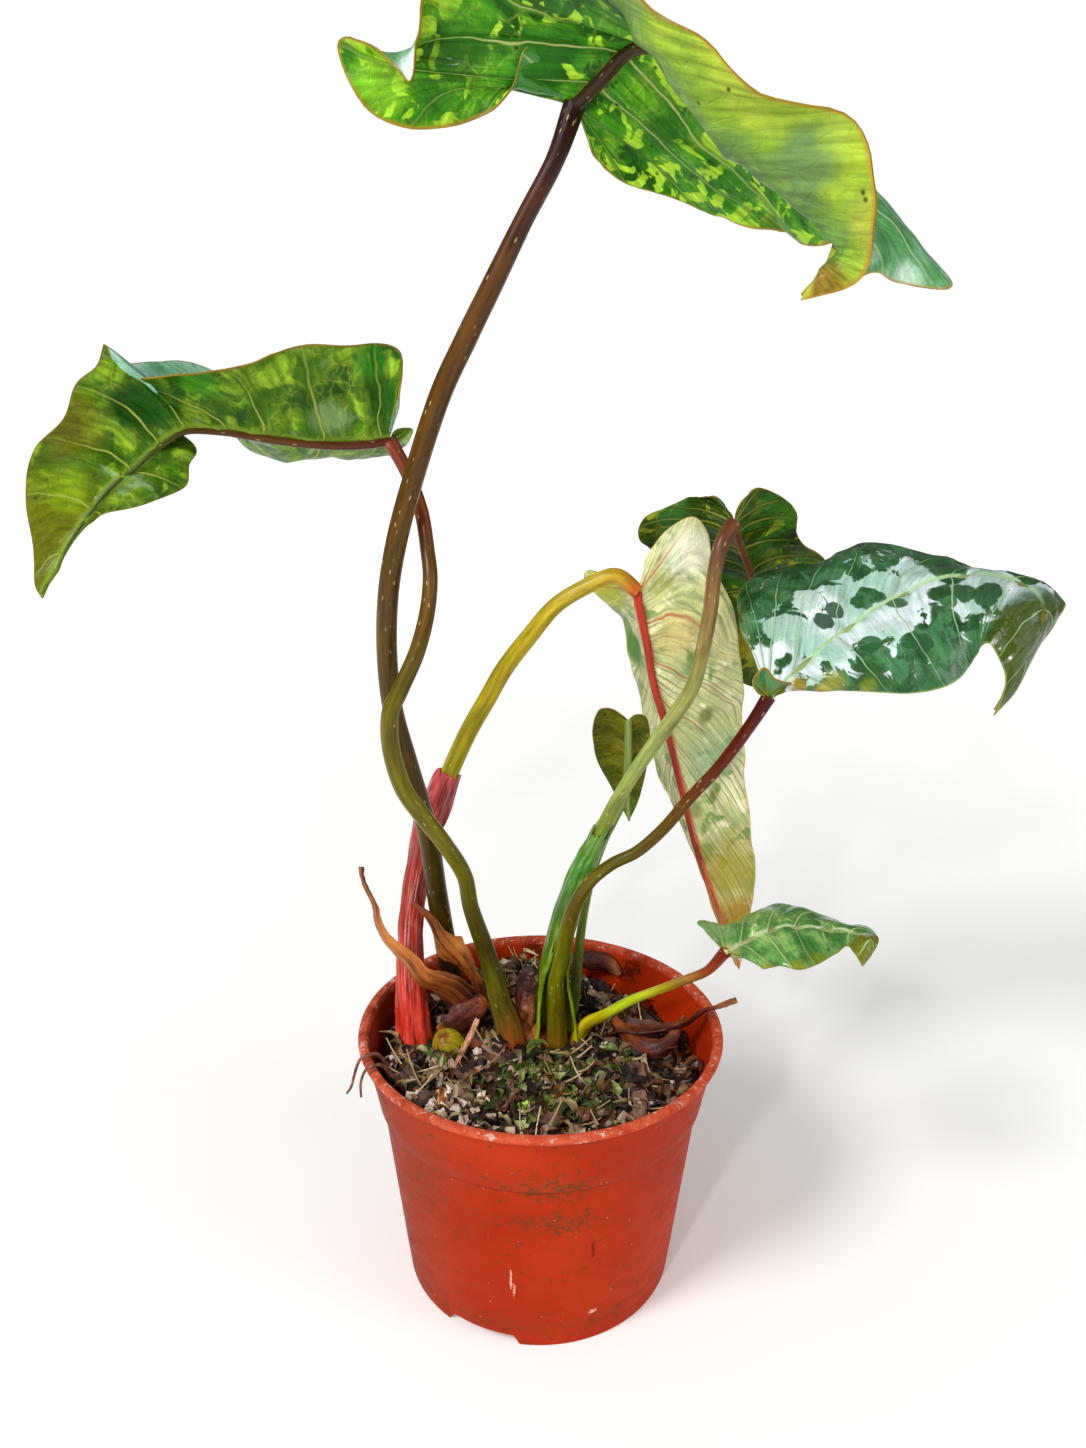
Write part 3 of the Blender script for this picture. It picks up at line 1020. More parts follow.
STEM_NEW = [
    (-42, 5, 71, 4.2), (-43, 6, 80, 4), (-44, 10, 92, 3.6), (-45, 17, 104, 3.2), (-45, 25, 115, 3),
    (-43, 32, 129, 3), (-40, 35, 143, 3), (-35, 36, 156, 3.1), (-30, 36, 168, 3.2),
    (-25, 35, 179, 3.1), (-19, 34, 190, 3.1), (-13, 33, 201, 3), (-5, 32, 212, 2.9),
    (4, 31, 223, 2.7), (15, 30, 230, 2.6), (23, 29, 233, 2.5), (30, 28, 228, 2.5)]
STEM_BACK = [
    (4, 21, 71, 4), (4, 20, 82, 4), (5, 19, 101, 3.4), (8.5, 17, 121, 2.9), (13, 15, 137, 2.5),
    (18, 13, 149, 2.3), (23, 12, 161, 2.25), (31, 11, 176, 2.3), (39, 10, 189, 2.4),
    (46, 10, 201, 2.4), (49, 11, 213, 2.3), (51, 13, 225, 2.3), (52, 15, 236, 2.3),
    (54, 17, 245, 2.4), (58, 20, 251, 2.6)]
STEM_RIGHT = [
    (5.5, 8, 71, 3.8), (5.5, 8, 81, 3.5), (5, 6.5, 93, 3.2), (5, 5, 102, 2.9), (7, 4, 113, 2.7),
    (10, 1, 129, 2.4), (15, -1, 140, 2.1), (22, -2, 147, 1.95), (30, -3, 152, 1.9),
    (38, -3, 160, 1.9), (45, -4, 170, 1.85), (54, -4, 181, 1.85), (62, -5, 194, 1.9),
    (67, -5, 203, 2.2)]
STEM_SMALL = [
    (11, 30, 69, 2.2), (12, 30, 80, 2.1), (14, 28, 108, 1.6), (17, 27, 128, 1.4),
    (21, 27, 142, 1.4), (25, 29, 150, 1.3), (28, 31, 157, 1.3), (29, 34, 169, 1.3),
    (29, 38, 182, 1.4)]
STEM_LOW = [
    (12, 11, 70, 2.6), (13, 10, 77, 2.4), (16, 7, 84, 2.1), (22, 3, 90, 1.8), (29, -2, 98, 1.6),
    (38, -8, 106, 1.45), (45, -14, 113, 1.45), (51, -20, 120, 1.5), (55, -25, 129, 1.9)]
STEM_STUMP = [(-29, 5, 70, 4.4), (-30, 3, 75.5, 5.4), (-31.3, 0.3, 80, 5.3),
              (-32.2, -1.3, 82.8, 3.8), (-32.5, -2, 84.3, 0.4)]

# %% Colours of the petioles, from foot to blade
SKIN_TOP = [(0.0, "#5f3c14"), (0.2, "#40340a"), (0.6, "#52380a"), (0.85, "#583610"),
            (0.94, "#401c1a"), (1.0, "#2a1210")]
SKIN_LEFT = [(0.0, "#a85424"), (0.06, "#7c5a1c"), (0.12, "#5a5a0e"), (0.2, "#463e08"),
             (0.36, "#665e06"), (0.55, "#645c06"), (0.7, "#54400a"), (0.82, "#5c3a10"),
             (1.0, "#7a301c")]
SKIN_NEW = [(0.0, "#7f9a2c"), (0.4, "#98901a"), (0.7, "#a89414"), (0.93, "#b49c28"),
            (1.0, "#b45c20")]
SKIN_BACK = [(0.0, "#5f6c0c"), (0.3, "#5c6c14"), (0.45, "#788428"), (0.6, "#98a458"),
             (0.74, "#8c8848"), (0.83, "#7c6438"), (0.94, "#6c4830"), (1.0, "#5a3422")]
SKIN_RIGHT = [(0.0, "#7c4c14"), (0.1, "#6c6008"), (0.25, "#707408"), (0.38, "#5c4c08"),
              (0.5, "#544e08"), (0.65, "#5c4408"), (0.78, "#602c0a"), (0.88, "#581808"),
              (1.0, "#440f08")]
SKIN_SMALL = [(0.0, "#6f8434"), (1.0, "#7a8a44")]
SKIN_LOW = [(0.0, "#c8ac14"), (0.25, "#bcb014"), (0.4, "#b8cc20"), (0.52, "#b0b820"),
            (0.64, "#a89418"), (0.76, "#98682c"), (0.88, "#7c3014"), (1.0, "#7c2818")]
SKIN_STUMP = [(0.0, "#c4c01c"), (0.6, "#b4b41c"), (0.85, "#a8a018"), (0.95, "#94701c"),
              (1.0, "#7c3c18")]

# %% The petioles
for part, rows, skin, slot in (
        ("top", STEM_TOP, SKIN_TOP, "petiole_brown"),
        ("left", STEM_LEFT, SKIN_LEFT, "petiole_brown"),
        ("right", STEM_RIGHT, SKIN_RIGHT, "petiole_brown"),
        ("new", STEM_NEW, SKIN_NEW, "petiole_green"),
        ("back", STEM_BACK, SKIN_BACK, "petiole_green"),
        ("small", STEM_SMALL, SKIN_SMALL, "petiole_green"),
        ("low", STEM_LOW, SKIN_LOW, "petiole_green"),
        ("stump", STEM_STUMP, SKIN_STUMP, "petiole_green")):
    stem = stalk("stem_" + part, rows, 20 if part == "stump" else 140, 20)
    grain = np.array([item.vector[2] for item in stem.data.attributes["grain"].data])
    length = grain.max() / MM
    dress(stem, ["petiole_" + part], slot, stem_skin(f"stem_{part}_skin", length, skin))

# %% [markdown]
# ## Pink and green sheaths
# A philodendron wraps each new leaf in a sheath. The pink-red one around the newest petiole is
# fleshy, wrinkled at its collar and open down one side; the green one clasps the back leaf's
# petiole with two wings at its foot. Each is a grid rolled a little more than once around the
# petiole, so that one edge laps over the other, with lengthwise folds and a ragged top, and
# Solidify gives it a real skin.

# %% A sheath rolled around a stem
def laid_sheet(name, place, grain, thickness):
    """A thick sheet over place[row, column], in millimetres, that keeps its grain."""
    piece, row, col = add_grid(name, place, False)
    set_grain(piece.data, grain[row, col] * MM)
    thicken(piece, thickness)
    smooth(piece, 70)
    return piece


def rolled_sheath(name, stem_rows, share, radii, spread, fold, turns, start, ragged, seed):
    """A sheet rolled around the first share of a stem, with folds and a ragged top."""
    rows, cols = 110, 72
    s = np.linspace(0, 1, rows + 1)
    route = through(np.array(stem_rows, float)[:, :3], s * share)
    tangents, sides, others = frames_along(route)
    theta = start + np.linspace(0, turns * 2 * math.pi, cols + 1)
    grid_s, grid_t = np.meshgrid(s, theta, indexing="ij")

    def ripples(around, along, shift=0):
        return np.array([[noise.noise(Vector((math.cos(turn) * around, math.sin(turn) * around,
                                              high * along + seed + shift)))
                          for turn in theta] for high in s])

    bumps, pleats, jags = ripples(1.6, 14), ripples(3.4, 2.5, 30), ripples(2.2, 0)
    radius = np.interp(grid_s, np.linspace(0, 1, len(radii)), radii)
    radius = radius * (1 + (spread - 1) * (1 - grid_s) ** 2 * np.sin(grid_t) ** 2)
    collar = 1 + 0.8 * np.clip((grid_s - 0.72) / 0.1, 0, 1)
    radius = radius - 0.35 + 1.5 * fold * pleats + fold * collar * bumps
    radius = radius + 0.45 * (grid_t - start) / (2 * math.pi)
    pull = ragged * jags * grid_s ** 6
    east, north = np.cos(grid_t) * radius, np.sin(grid_t) * radius
    place = (route[:, None] + sides[:, None] * east[..., None] + others[:, None] * north[..., None]
             + tangents[:, None] * pull[..., None])
    length = np.linalg.norm(np.diff(route, axis=0), axis=1).sum()
    return laid_sheet(name, place, np.stack([east, north, grid_s * length], axis=-1), 0.5)


def sheath_skin(name, length, stops, streak, amount, roughness, coat, long=0.1, pale=None):
    """A sheath: colours along its length, with dark streaks and pale ones along the fibres."""
    made = start_material(name)
    grain, _, colour = along_grain(length, stops, 7, 0.2)
    fibre = clouds(stretched(grain, 1.0, 1.0, long), 1.8, 5.0, 0.62)
    colour = lay(colour, fade(fibre, 0.47, 0.6, 0.0, amount), streak)
    if pale:
        colour = lay(colour, fade(fibre, 0.44, 0.32, 0.0, 0.5), pale)
    shade(colour, roughness, fibre, 0.5, 0.5, Coat_Weight=coat, Coat_Roughness=0.2)
    return made


# %% Pink and green sheaths
pink = rolled_sheath(
    "sheath_pink", STEM_NEW, 0.475, [5.8, 5.9, 5.2, 4.5, 4.3, 4.2, 4.2, 4.7, 5.3, 3.7], 1.0, 0.5,
    1.12, -0.6, 3.0, 3)
pink_skin = sheath_skin(
    "fleshy_sheath_pink", 115,
    [(0.0, "#f0583c"), (0.1, "#e43c2c"), (0.22, "#cc2c14"), (0.4, "#b82c14"), (0.6, "#9a3020"),
     (0.78, "#b03c34"), (0.9, "#d84c58"), (1.0, "#b83c38")],
    "#6a180c", 0.7, 0.32, 0.15, 0.16, "#e87464")
dress(pink, ["sheath_new"], "sheath_red", pink_skin)
lime = rolled_sheath("sheath_lime", STEM_BACK, 0.37, [7.2, 6.2, 5.0, 4.5, 4.2, 3.8, 3.3, 2.9], 1.15,
                     0.3, 1.08, 2.4, 7.0, 11)
wings = rolled_sheath("sheath_wings", STEM_RIGHT, 0.3, [6.5, 6.3, 5.8, 5.1, 4.2, 3.3], 1.3,
                      0.15, 0.62, 1.25, 9.0, 8)
lime_skin = sheath_skin(
    "fleshy_sheath_lime", 85,
    [(0.0, "#c4c81c"), (0.22, "#a4bc18"), (0.38, "#74980c"), (0.55, "#40700c"), (0.8, "#3c8418"),
     (1.0, "#6c9030")],
    "#1c3806", 0.45, 0.24, 0.12, 0.1, "#b4d468")
dress(joined([lime, wings], "sheath_lime"), ["sheath_green"], "sheath_lime", lime_skin)

# %% [markdown]
# ## Dried sheaths
# Old sheaths dry to curled orange-brown paper, torn along their fibres. Each is a narrow sheet
# that is curled across its width and twisted along its length, with torn edges. Dead leaves,
# torn shreds and a fresh leaflet in the mix are strips of the same kind.

# %% Dried sheaths
def dried_strip(name, rows, seed, bend=110):
    """A torn strip through rows of x, y, z, width in mm and turn in degrees; bend is its curl."""
    steps, across = 90, 14
    rows = np.array(rows, float)
    s, v = np.linspace(0, 1, steps + 1), np.linspace(-0.5, 0.5, across + 1)
    route = through(rows[:, :3], s)
    tangents, sides, _ = frames_along(route)
    knots = np.linspace(0, 1, len(rows))
    width, turn = np.interp(s, knots, rows[:, 3]), np.radians(np.interp(s, knots, rows[:, 4]) + 90)
    bend = math.radians(bend)
    place = np.empty((steps + 1, across + 1, 3))
    grain = np.empty_like(place)
    for i in range(steps + 1):
        side = Matrix.Rotation(turn[i], 3, Vector(tangents[i])) @ Vector(sides[i])
        out = Vector(tangents[i]).cross(side)
        for j in range(across + 1):
            tear = 1 + 0.12 * noise.noise(Vector((s[i] * 7, seed, round(v[j]) * 9)))
            tear += 0.05 * noise.noise(Vector((s[i] * 30, seed, round(v[j]) * 9)))
            angle = v[j] * bend * tear
            crease = 0.4 * noise.noise(Vector((s[i] * 9, v[j] * 9, seed + 5)))
            crease += 0.3 * noise.noise(Vector((s[i] * 30, v[j] * 16, seed + 9)))
            point = (Vector(route[i]) + side * (math.sin(angle) * width[i] / bend * tear)
                     + out * ((1 - math.cos(angle)) * width[i] / bend + crease))
            place[i, j] = point
            grain[i, j] = (v[j] * width[i], 0, s[i] * 60)
    return laid_sheet(name, place, grain, 0.35)


# %% Dry papers: orange, maroon, purple and peach, and a fresh green
paper_orange = sheath_skin(
    "dried_sheath_paper", 60,
    [(0.0, "#3c1610"), (0.14, "#5a2414"), (0.28, "#9a4c18"), (0.6, "#bc6c1c"), (0.85, "#b05c18"),
     (1.0, "#8f4414")],
    "#300e04", 0.9, 0.5, 0.0, 0.08, "#e89c40")
paper_maroon = sheath_skin(
    "dried_sheath_maroon", 60,
    [(0.0, "#a4501c"), (0.25, "#7c3418"), (0.5, "#4c1810"), (0.75, "#6a2c14"), (1.0, "#b0681c")],
    "#1c0806", 0.9, 0.55, 0.0, 0.1, "#b05a34")
paper_purple = sheath_skin(
    "dried_sheath_purple", 60,
    [(0.0, "#c8743c"), (0.35, "#b4603c"), (0.55, "#6a3434"), (1.0, "#4c2830")], "#2c1014", 0.8, 0.4,
    0.1, 0.15, "#c08a74")
paper_peach = sheath_skin(
    "dried_sheath_peach", 60, [(0.0, "#e0a884"), (1.0, "#b8764c")], "#7a4a30", 0.5, 0.55, 0.0)
leaflet_green = sheath_skin(
    "fresh_leaflet_green", 60, [(0.0, "#8fb81c"), (1.0, "#c4dc4c")], "#4c7c14", 0.5, 0.35, 0.1)

# %% Where the strips lie: x, y, z, width and turn
DRY_LEFT = [(-24, 10, 76, 12, 20), (-25, 9, 86, 13, 15), (-27, 6, 92, 14, 10), (-32, 2, 99, 13, 0),
            (-39, -1, 104, 11.5, -10), (-44, -1, 111, 10, -20), (-50, -1, 118, 7.5, -25),
            (-53, -1, 125, 4.5, -30), (-54, 0, 131, 3, -30), (-57, 0, 139, 2.4, -30),
            (-58, 1, 144, 2.4, -30)]
DRY_MIDDLE = [
    (-19, 18, 73, 3.5, 0), (-20.5, 18, 83, 3.8, 0), (-22, 18, 91.5, 4, 0), (-24.5, 18, 97, 4.8, 5),
    (-27.5, 18, 102, 8.5, 10), (-31, 18, 105.5, 11.5, 15), (-34.5, 19, 110, 5.5, 20),
    (-38, 19, 117, 3.2, 30), (-43.5, 19, 122.5, 1, 30)]
DRY_RIGHT = [
    (24, 16, 73, 7, 80), (29, 11, 79, 9, 80), (35, 8, 80, 10, 70), (42, 6, 81.5, 8, 60),
    (49, 4, 85, 6, 50), (55, 3, 91, 5, 40), (60, 2.5, 93, 4.5, 30), (65.5, 3, 95, 4, 20)]
DEAD_LEAF = [(25, 17, 79, 4, 0), (29, 8, 78, 8, 0), (33, 1, 78, 10, 10), (39, -2, 79, 9, 20),
             (44, 0, 81, 7, 20), (47, 4, 83.5, 5, 30), (49, 8, 86, 2, 40)]
WALL_LEAF = [(7, 43, 80, 4, 0), (11, 43, 84, 8, 10), (15, 44, 86.5, 9, 0), (20, 45, 86, 10, -10),
             (25, 45, 84.5, 8, 0), (29, 43, 81, 3, 20)]
CRUMPLED = [(-19, 9, 92, 6, 20), (-22, 6, 90.5, 10, 10), (-26, 4, 87.5, 11, 0),
            (-30, 3.5, 84, 10, -10), (-34, 4, 81.5, 5, -20)]
BETWEEN = [(-5, 10, 75, 5, 10), (-5.5, 11, 82, 8, 0), (-6, 14, 88, 9, -10), (-6, 16, 93, 10, -20),
           (-5, 17, 97, 7, -30), (-3, 17, 99, 3, -40)]
TORN_STRIP = [(-20.7, -3, 91.5, 1.6, 0), (-23, -6, 87.4, 1.9, 20), (-26.2, -10, 82.5, 1.7, 30),
              (-28.2, -14, 77.5, 1.5, 30)]
SLIVER = [(-29.2, -35, 78, 2, 20), (-29.8, -34, 83, 1.8, 10), (-30.2, -33, 87, 1.2, 0)]
LEAFLET = [(-6.5, -33, 77.5, 2.5, 0), (-5, -33.5, 80, 4, 20), (-3.5, -33, 81.8, 1.5, 40)]

# %% The strips, each in its paper and joined to its sheath
left_parts = [in_skin(dried_strip("dried_sheath_left", DRY_LEFT, 1), paper_orange),
              in_skin(dried_strip("crumpled_base", CRUMPLED, 6, 80), paper_maroon),
              in_skin(dried_strip("torn_strip", TORN_STRIP, 12, 90), paper_peach),
              in_skin(dried_strip("orange_sliver", SLIVER, 13, 90), paper_orange)]
dress(dried_strip("fresh_leaflet", LEAFLET, 14, 150), ["potting_mix"], "mix", leaflet_green)
dress(joined(left_parts, "dried_sheath_left"), ["dry_sheath_left"], "sheath_dry")
middle_parts = [in_skin(dried_strip("dried_sheath_middle", DRY_MIDDLE, 2), paper_orange),
                in_skin(dried_strip("purple_remains", BETWEEN, 7, 140), paper_purple)]
dress(joined(middle_parts, "dried_sheath_middle"), ["dry_sheath_middle"], "sheath_dry")
right_parts = [dried_strip("dried_sheath_right", DRY_RIGHT, 3),
               dried_strip("dead_leaf", DEAD_LEAF, 4, 150),
               dried_strip("wall_leaf", WALL_LEAF, 9, 150)]
dress(joined(right_parts, "dried_sheath_right"), ["dry_sheath_right"], "sheath_dry", paper_maroon)

# %% [markdown]
# ## Rhizome and aerial roots
# The plant creeps: its thick brown stem lies at the top of the mix, ringed by old leaf scars,
# with a couple of buds. Thin dry roots come out of it and hang over the lip. All of them are
# tubes with a radius that changes along the way.

# %% Rhizome and roots
def bark_skin(name, dark, mid, light, grain_mm, roughness=0.75):
    """Rough woody skin in three tones."""
    made = start_material(name)
    rough = clouds(node("TexCoord", out=3), grain_mm, 5.0, 0.65)
    colour = ramp(rough, [(0.32, dark), (0.52, mid), (0.72, light)])
    shade(colour, roughness, rough, 0.7, 0.7)
    return made


RHIZOME = np.array([(-49, 7, 72, 3.4), (-40, 7, 73, 5), (-29, 8, 73, 5.2), (-18, 10, 73, 5.5),
                    (-8, 12, 73, 5.8), (3, 13, 73, 6), (13, 14, 72, 3.6)])
share = np.linspace(0, 1, 90)
line = through(RHIZOME[:, :3], share)
radius = np.interp(share, np.linspace(0, 1, len(RHIZOME)), RHIZOME[:, 3])
radius = radius * (1 + 0.07 * np.sin(44 * share))  # the rings of old leaf scars
rhizome_parts = [stalk("rhizome_stem", np.column_stack([line, radius]), 90, 24)]
for x, y, z, size in ((-7, 12, 78, 4.2), (-7, 13, 83, 2.8)):  # buds
    fresh()
    bpy.ops.mesh.primitive_ico_sphere_add(subdivisions=3, radius=size * MM,
                                          location=(x * MM, y * MM, z * MM))
    bpy.ops.object.transform_apply(location=True)
    rhizome_parts.append(bpy.context.object)
rhizome = joined(rhizome_parts, "rhizome_bark")
for vertex in rhizome.data.vertices:
    vertex.co += vertex.normal * noise.noise(vertex.co * 400) * 0.6 * MM
smooth(rhizome, 60)
dress(rhizome, ["rhizome"], "rhizome_skin",
      bark_skin("rhizome_skin_brown", "#3a180c", "#8a401a", "#c87838", 5))

root_bark = bark_skin("dry_root_skin", "#3f2014", "#7a4a30", "#a8785a", 2)
ROOTS = (
    [(-43, -15, 70), (-46.8, -17.5, 80), (-50.4, -20.4, 88.9), (-52.9, -22.4, 90.9),
     (-56, -24.6, 90.5), (-57.6, -26.2, 86.5), (-58.8, -26.2, 82), (-60.4, -26, 79.2)],
    [(-41.5, -20, 70), (-44.5, -23, 80), (-48.2, -26.2, 88.9), (-50.6, -28, 90.9),
     (-53.4, -30, 90.5), (-54.8, -31.6, 87), (-54.6, -33, 83)])
for number, route in enumerate(ROOTS, 1):
    thin = np.linspace(0.75, 0.35, len(route))
    root = stalk(f"root_{number}", np.column_stack([route, thin]), 50, 10)
    dress(root, [f"aerial_root_{number}"], "root_skin", root_bark)

# %% [markdown]
# ## Moulded polypropylene
# The pot is polypropylene coloured right through, moulded with a satin surface. Use has left
# its marks: a paler rubbed lip, brown smears of soil below the band, tiny pale and dark specks,
# a chalky scuff low on the front and a fine scratch.

# %% Pot finish: colour, soil and the rubbed lip
pot_plastic = start_material("moulded_polypropylene_orange_red")
place = node("TexCoord", out=3)
to_right, to_back, height = parts(place)
front = fade(to_back, -0.02, -0.03)
smear = clouds(stretched(place, 1.0, 1.0, 2.2), 9, 6.0, 0.7)
speckle = clouds(place, 2.2, 5.0, 0.75)
rubbed = clouds(place, 6, 5.0, 0.7)


def oval(x, z, wide, tall):
    """Distance from a point on the front, 1 at the edge of an oval of this size."""
    near = node("VectorMath", {0: place, 1: (x * MM, 0.0, z * MM)}, operation="SUBTRACT")
    near = node("VectorMath", {0: near, 1: (1000 / wide, 0.0, 1000 / tall)}, operation="MULTIPLY")
    return node("VectorMath", {0: near}, out=1, operation="LENGTH")


colour = ramp(clouds(place, 45), [(0.3, "#a02606"), (0.5, "#ae2c07"), (0.7, "#ba3409")])
colour = lay(colour, fade(to_right, -0.015, -0.056, 0.0, 0.9), "#7c2a12")
# Smears of soil: a place on the front, a width, a height and an amount.
for x, z, wide, tall, amount in (
        (3, 67, 19, 8, 0.75), (5, 52, 16, 7, 0.7), (-34, 58, 9, 26, 0.3), (0, 8, 60, 5, 0.3)):
    near = fade(oval(x, z, wide, tall), 0.2, 1.2, 0.16, -0.2)
    patch = fade(added(added(smear, 0.5, near), 0.5, speckle), 0.6, 0.74, 0.0, amount)
    colour = lay(colour, times(patch, front), "#5c3c14")
# The step under the band lies in shadow.
seam = node("Math", {0: minus(height, 65.4 * MM)}, operation="ABSOLUTE")
colour = lay(colour, fade(seam, 0.2 * MM, 0.6 * MM, 0.85, 0.0), "#6a1c08")
# The lip is rubbed pale, with chalky specks.
lip = times(fade(height, 86.2 * MM, 88.4 * MM), fade(rubbed, 0.35, 0.65, 0.1, 0.9))
colour = lay(colour, lip, "#d8684a")
colour = lay(colour, times(fade(speckle, 0.57, 0.62), lip), "#f0d8cc")
for size, code in ((2.2, "#e8c8a8"), (3.1, "#4a2010")):
    specks = fade(cells(place, size), 0.06, 0.12, 0.7, 0.0)
    colour = lay(colour, times(specks, fade(rubbed, 0.55, 0.62)), code)

# %% Pot finish: scuffs, scratches and the shader
for x, z, wide, tall, code in (
        (-8.6, 28.5, 0.45, 5.5, "#f0b49c"), (-7.6, 23.5, 0.6, 3.6, "#e8a48a"),
        (16.5, 40, 0.8, 4.5, "#5a1a0a"), (17, 12, 1.4, 1.6, "#f0c0a8")):
    near = fade(added(speckle, 3.0, oval(x, z, wide, tall)), 1.9, 2.3, 0.85, 0.0)
    colour = lay(colour, times(near, front), code)
# Soil and pale scratches lie on the inner wall at the back.
for x, y, z, reach, code, amount in (
        (32, 43, 83, 8, "#3c1c10", 0.75), (-2, 55, 84, 7, "#4a2010", 0.6),
        (52, 34, 80, 7, "#e8c4b4", 0.7)):
    near = added(speckle, 2.2 * reach * MM, distance(place, x, y, z))
    colour = lay(colour, fade(near, 1.5 * reach * MM, 1.75 * reach * MM, amount, 0.0), code)
shade(colour, fade(smear, 0.35, 0.7, 0.42, 0.6), clouds(place, 0.9), 0.12, 0.3, IOR=1.49,
      Specular_IOR_Level=0.06)
dress(pot, ["pot"], "pot_plastic", pot_plastic)

# %% [markdown]
# ## The potting mix
# An open aroid mix: dark composted bark and peat with white perlite, straw and living moss.
# The body is a grid drawn into a disc, raised in lumps on top and closed below. On it lie
# chips, grains and leaflets. Each kind is modelled once from a small primitive, then copied,
# turned and scaled with a seeded random, each copy with its own mesh, and joined into one.

# %% The body of the mix
random.seed(7)
noise.seed_set(7)
INSIDE = 52.2  # mm, radius of the mix at its surface


def surface(x, y):
    """Height of the mix at x and y, in millimetres."""
    lumps = (noise.noise(Vector((x / 9, y / 9, 2))) * 2.8
             + noise.noise(Vector((x / 3.6, y / 3.6, 5))) * 1.5)
    heaps = (9 * math.exp(-((x + 8) ** 2 + (y - 43) ** 2) / 130)
             + 5 * math.exp(-((x - 21) ** 2 + (y - 45) ** 2) / 70))
    return 74.6 - 0.07 * x - 0.03 * y + lumps + heaps


fresh()
bpy.ops.mesh.primitive_grid_add(x_subdivisions=110, y_subdivisions=110, size=2, calc_uvs=False)
mix = bpy.context.object
mix.name = "potting_mix_body"
for vertex in mix.data.vertices:
    u, v = vertex.co.x, vertex.co.y
    x, y = INSIDE * u * math.sqrt(1 - v * v / 2), INSIDE * v * math.sqrt(1 - u * u / 2)
    vertex.co = (x * MM, y * MM, surface(x, y) * MM)
bpy.ops.object.mode_set(mode="EDIT")
bpy.ops.mesh.select_mode(type="EDGE")
bpy.ops.mesh.select_all(action="SELECT")
bpy.ops.mesh.region_to_loop()
above = INSIDE
for radius, height in ((INSIDE, 67.5), (51.0, 63.0), (44.5, 6.0)):
    bpy.ops.mesh.extrude_edges_move(TRANSFORM_OT_translate={"value": (0, 0, -1 * MM)})
    bpy.ops.transform.resize(value=(radius / above, radius / above, 0),
                             center_override=(0, 0, height * MM))
    above = radius
bpy.ops.mesh.edge_face_add()
bpy.ops.mesh.select_all(action="SELECT")
bpy.ops.mesh.normals_make_consistent(inside=False)
bpy.ops.object.mode_set(mode="OBJECT")
smooth(mix, 50)

# %% Strewing copies
# The x, y and radius of each stem where it enters the mix, in millimetres.
STEMS_AT_SOIL = ((-31, 37, 6), (-10, 8, 8), (-42, 5, 8), (4, 20, 8), (5, 8, 7), (11, 30, 4),
                 (12, 11, 5), (-28, 4, 8))


def duplicate(model):
    """A copy with its own mesh."""
    copy = model.copy()
    copy.data = model.data.copy()
    bpy.context.scene.collection.objects.link(copy)
    return copy


def spot(centre=None, reach=50.0):
    """A random place on the mix that keeps off the stems."""
    while True:
        if centre:
            x, y = random.gauss(centre[0], reach), random.gauss(centre[1], reach)
        else:
            away, turn = reach * math.sqrt(random.random()), random.uniform(0, 2 * math.pi)
            x, y = away * math.cos(turn), away * math.sin(turn)
        clear = all(math.hypot(x - a, y - b) > r for a, b, r in STEMS_AT_SOIL)
        if math.hypot(x, y) < 50 and clear:
            return x, y


def strew(name, model, count, size, tones, lift=0.0, flat=1.0, centre=None, reach=50.0):
    """Copies the model over the mix. size is a range in millimetres for its longest side, flat
    the most it tilts, in radians, and reach how far it may lie from the centre."""
    copies = []
    for _ in range(count):
        copy = duplicate(model)
        x, y = spot(centre, reach)
        scale = random.uniform(*size) * MM
        pitch, roll, spin = (random.uniform(-flat, flat), random.uniform(-flat, flat),
                             random.uniform(0, 6.3))
        turn = (Matrix.Rotation(spin, 4, "Z") @ Matrix.Rotation(pitch, 4, "X")
                @ Matrix.Rotation(roll, 4, "Y"))
        stretch = Matrix.Diagonal([scale * random.uniform(0.7, 1) for _ in range(3)] + [1])
        high = surface(x, y) + lift * scale / MM
        copy.data.transform(Matrix.Translation((x * MM, y * MM, high * MM)) @ turn @ stretch)
        tone = copy.data.attributes.new("tone", "FLOAT", "POINT")
        tone.data.foreach_set("value", [random.uniform(*tones)] * len(copy.data.vertices))
        copies.append(copy)
    bpy.data.objects.remove(model)
    return joined(copies, name)


def chip_model(x, y, z, seed, cuts=1):
    """A rough block with broken corners, one unit long."""
    fresh()
    bpy.ops.mesh.primitive_cube_add(size=1)
    model = bpy.context.object
    bpy.ops.object.mode_set(mode="EDIT")
    bpy.ops.mesh.subdivide(number_cuts=cuts)
    bpy.ops.transform.resize(value=(x, y, z))
    bpy.ops.object.mode_set(mode="OBJECT")
    for vertex in model.data.vertices:
        shift = noise.noise_vector(vertex.co * 2.3 + Vector((seed, 0, 0)))
        vertex.co += shift * 0.24 * Vector((x, y, z)).length
    return model


# %% Bark, stones, perlite and straw
chips = strew("bark_chips", chip_model(1, 0.45, 0.22, 1), 340, (3, 10), (0.0, 0.95), 0.2, 0.7)
flakes = strew("bark_flakes", chip_model(0.9, 0.6, 0.1, 4), 330, (2, 6), (0.0, 0.8), 0.2, 1.2)
heap = strew("heaped_bark", chip_model(1, 0.4, 0.12, 3), 90, (3, 8), (0.2, 0.9), 0.3, 1.4,
             centre=(-8, 42), reach=6)
stones = strew("stones", chip_model(0.8, 0.6, 0.5, 8), 90, (1.6, 5), (0.7, 1.1), 0.3, 1.5,
               centre=(-20, -30), reach=17)
fresh()
bpy.ops.mesh.primitive_ico_sphere_add(subdivisions=1, radius=0.5)
grain_model = bpy.context.object
for vertex in grain_model.data.vertices:
    vertex.co += noise.noise_vector(vertex.co * 3) * 0.3
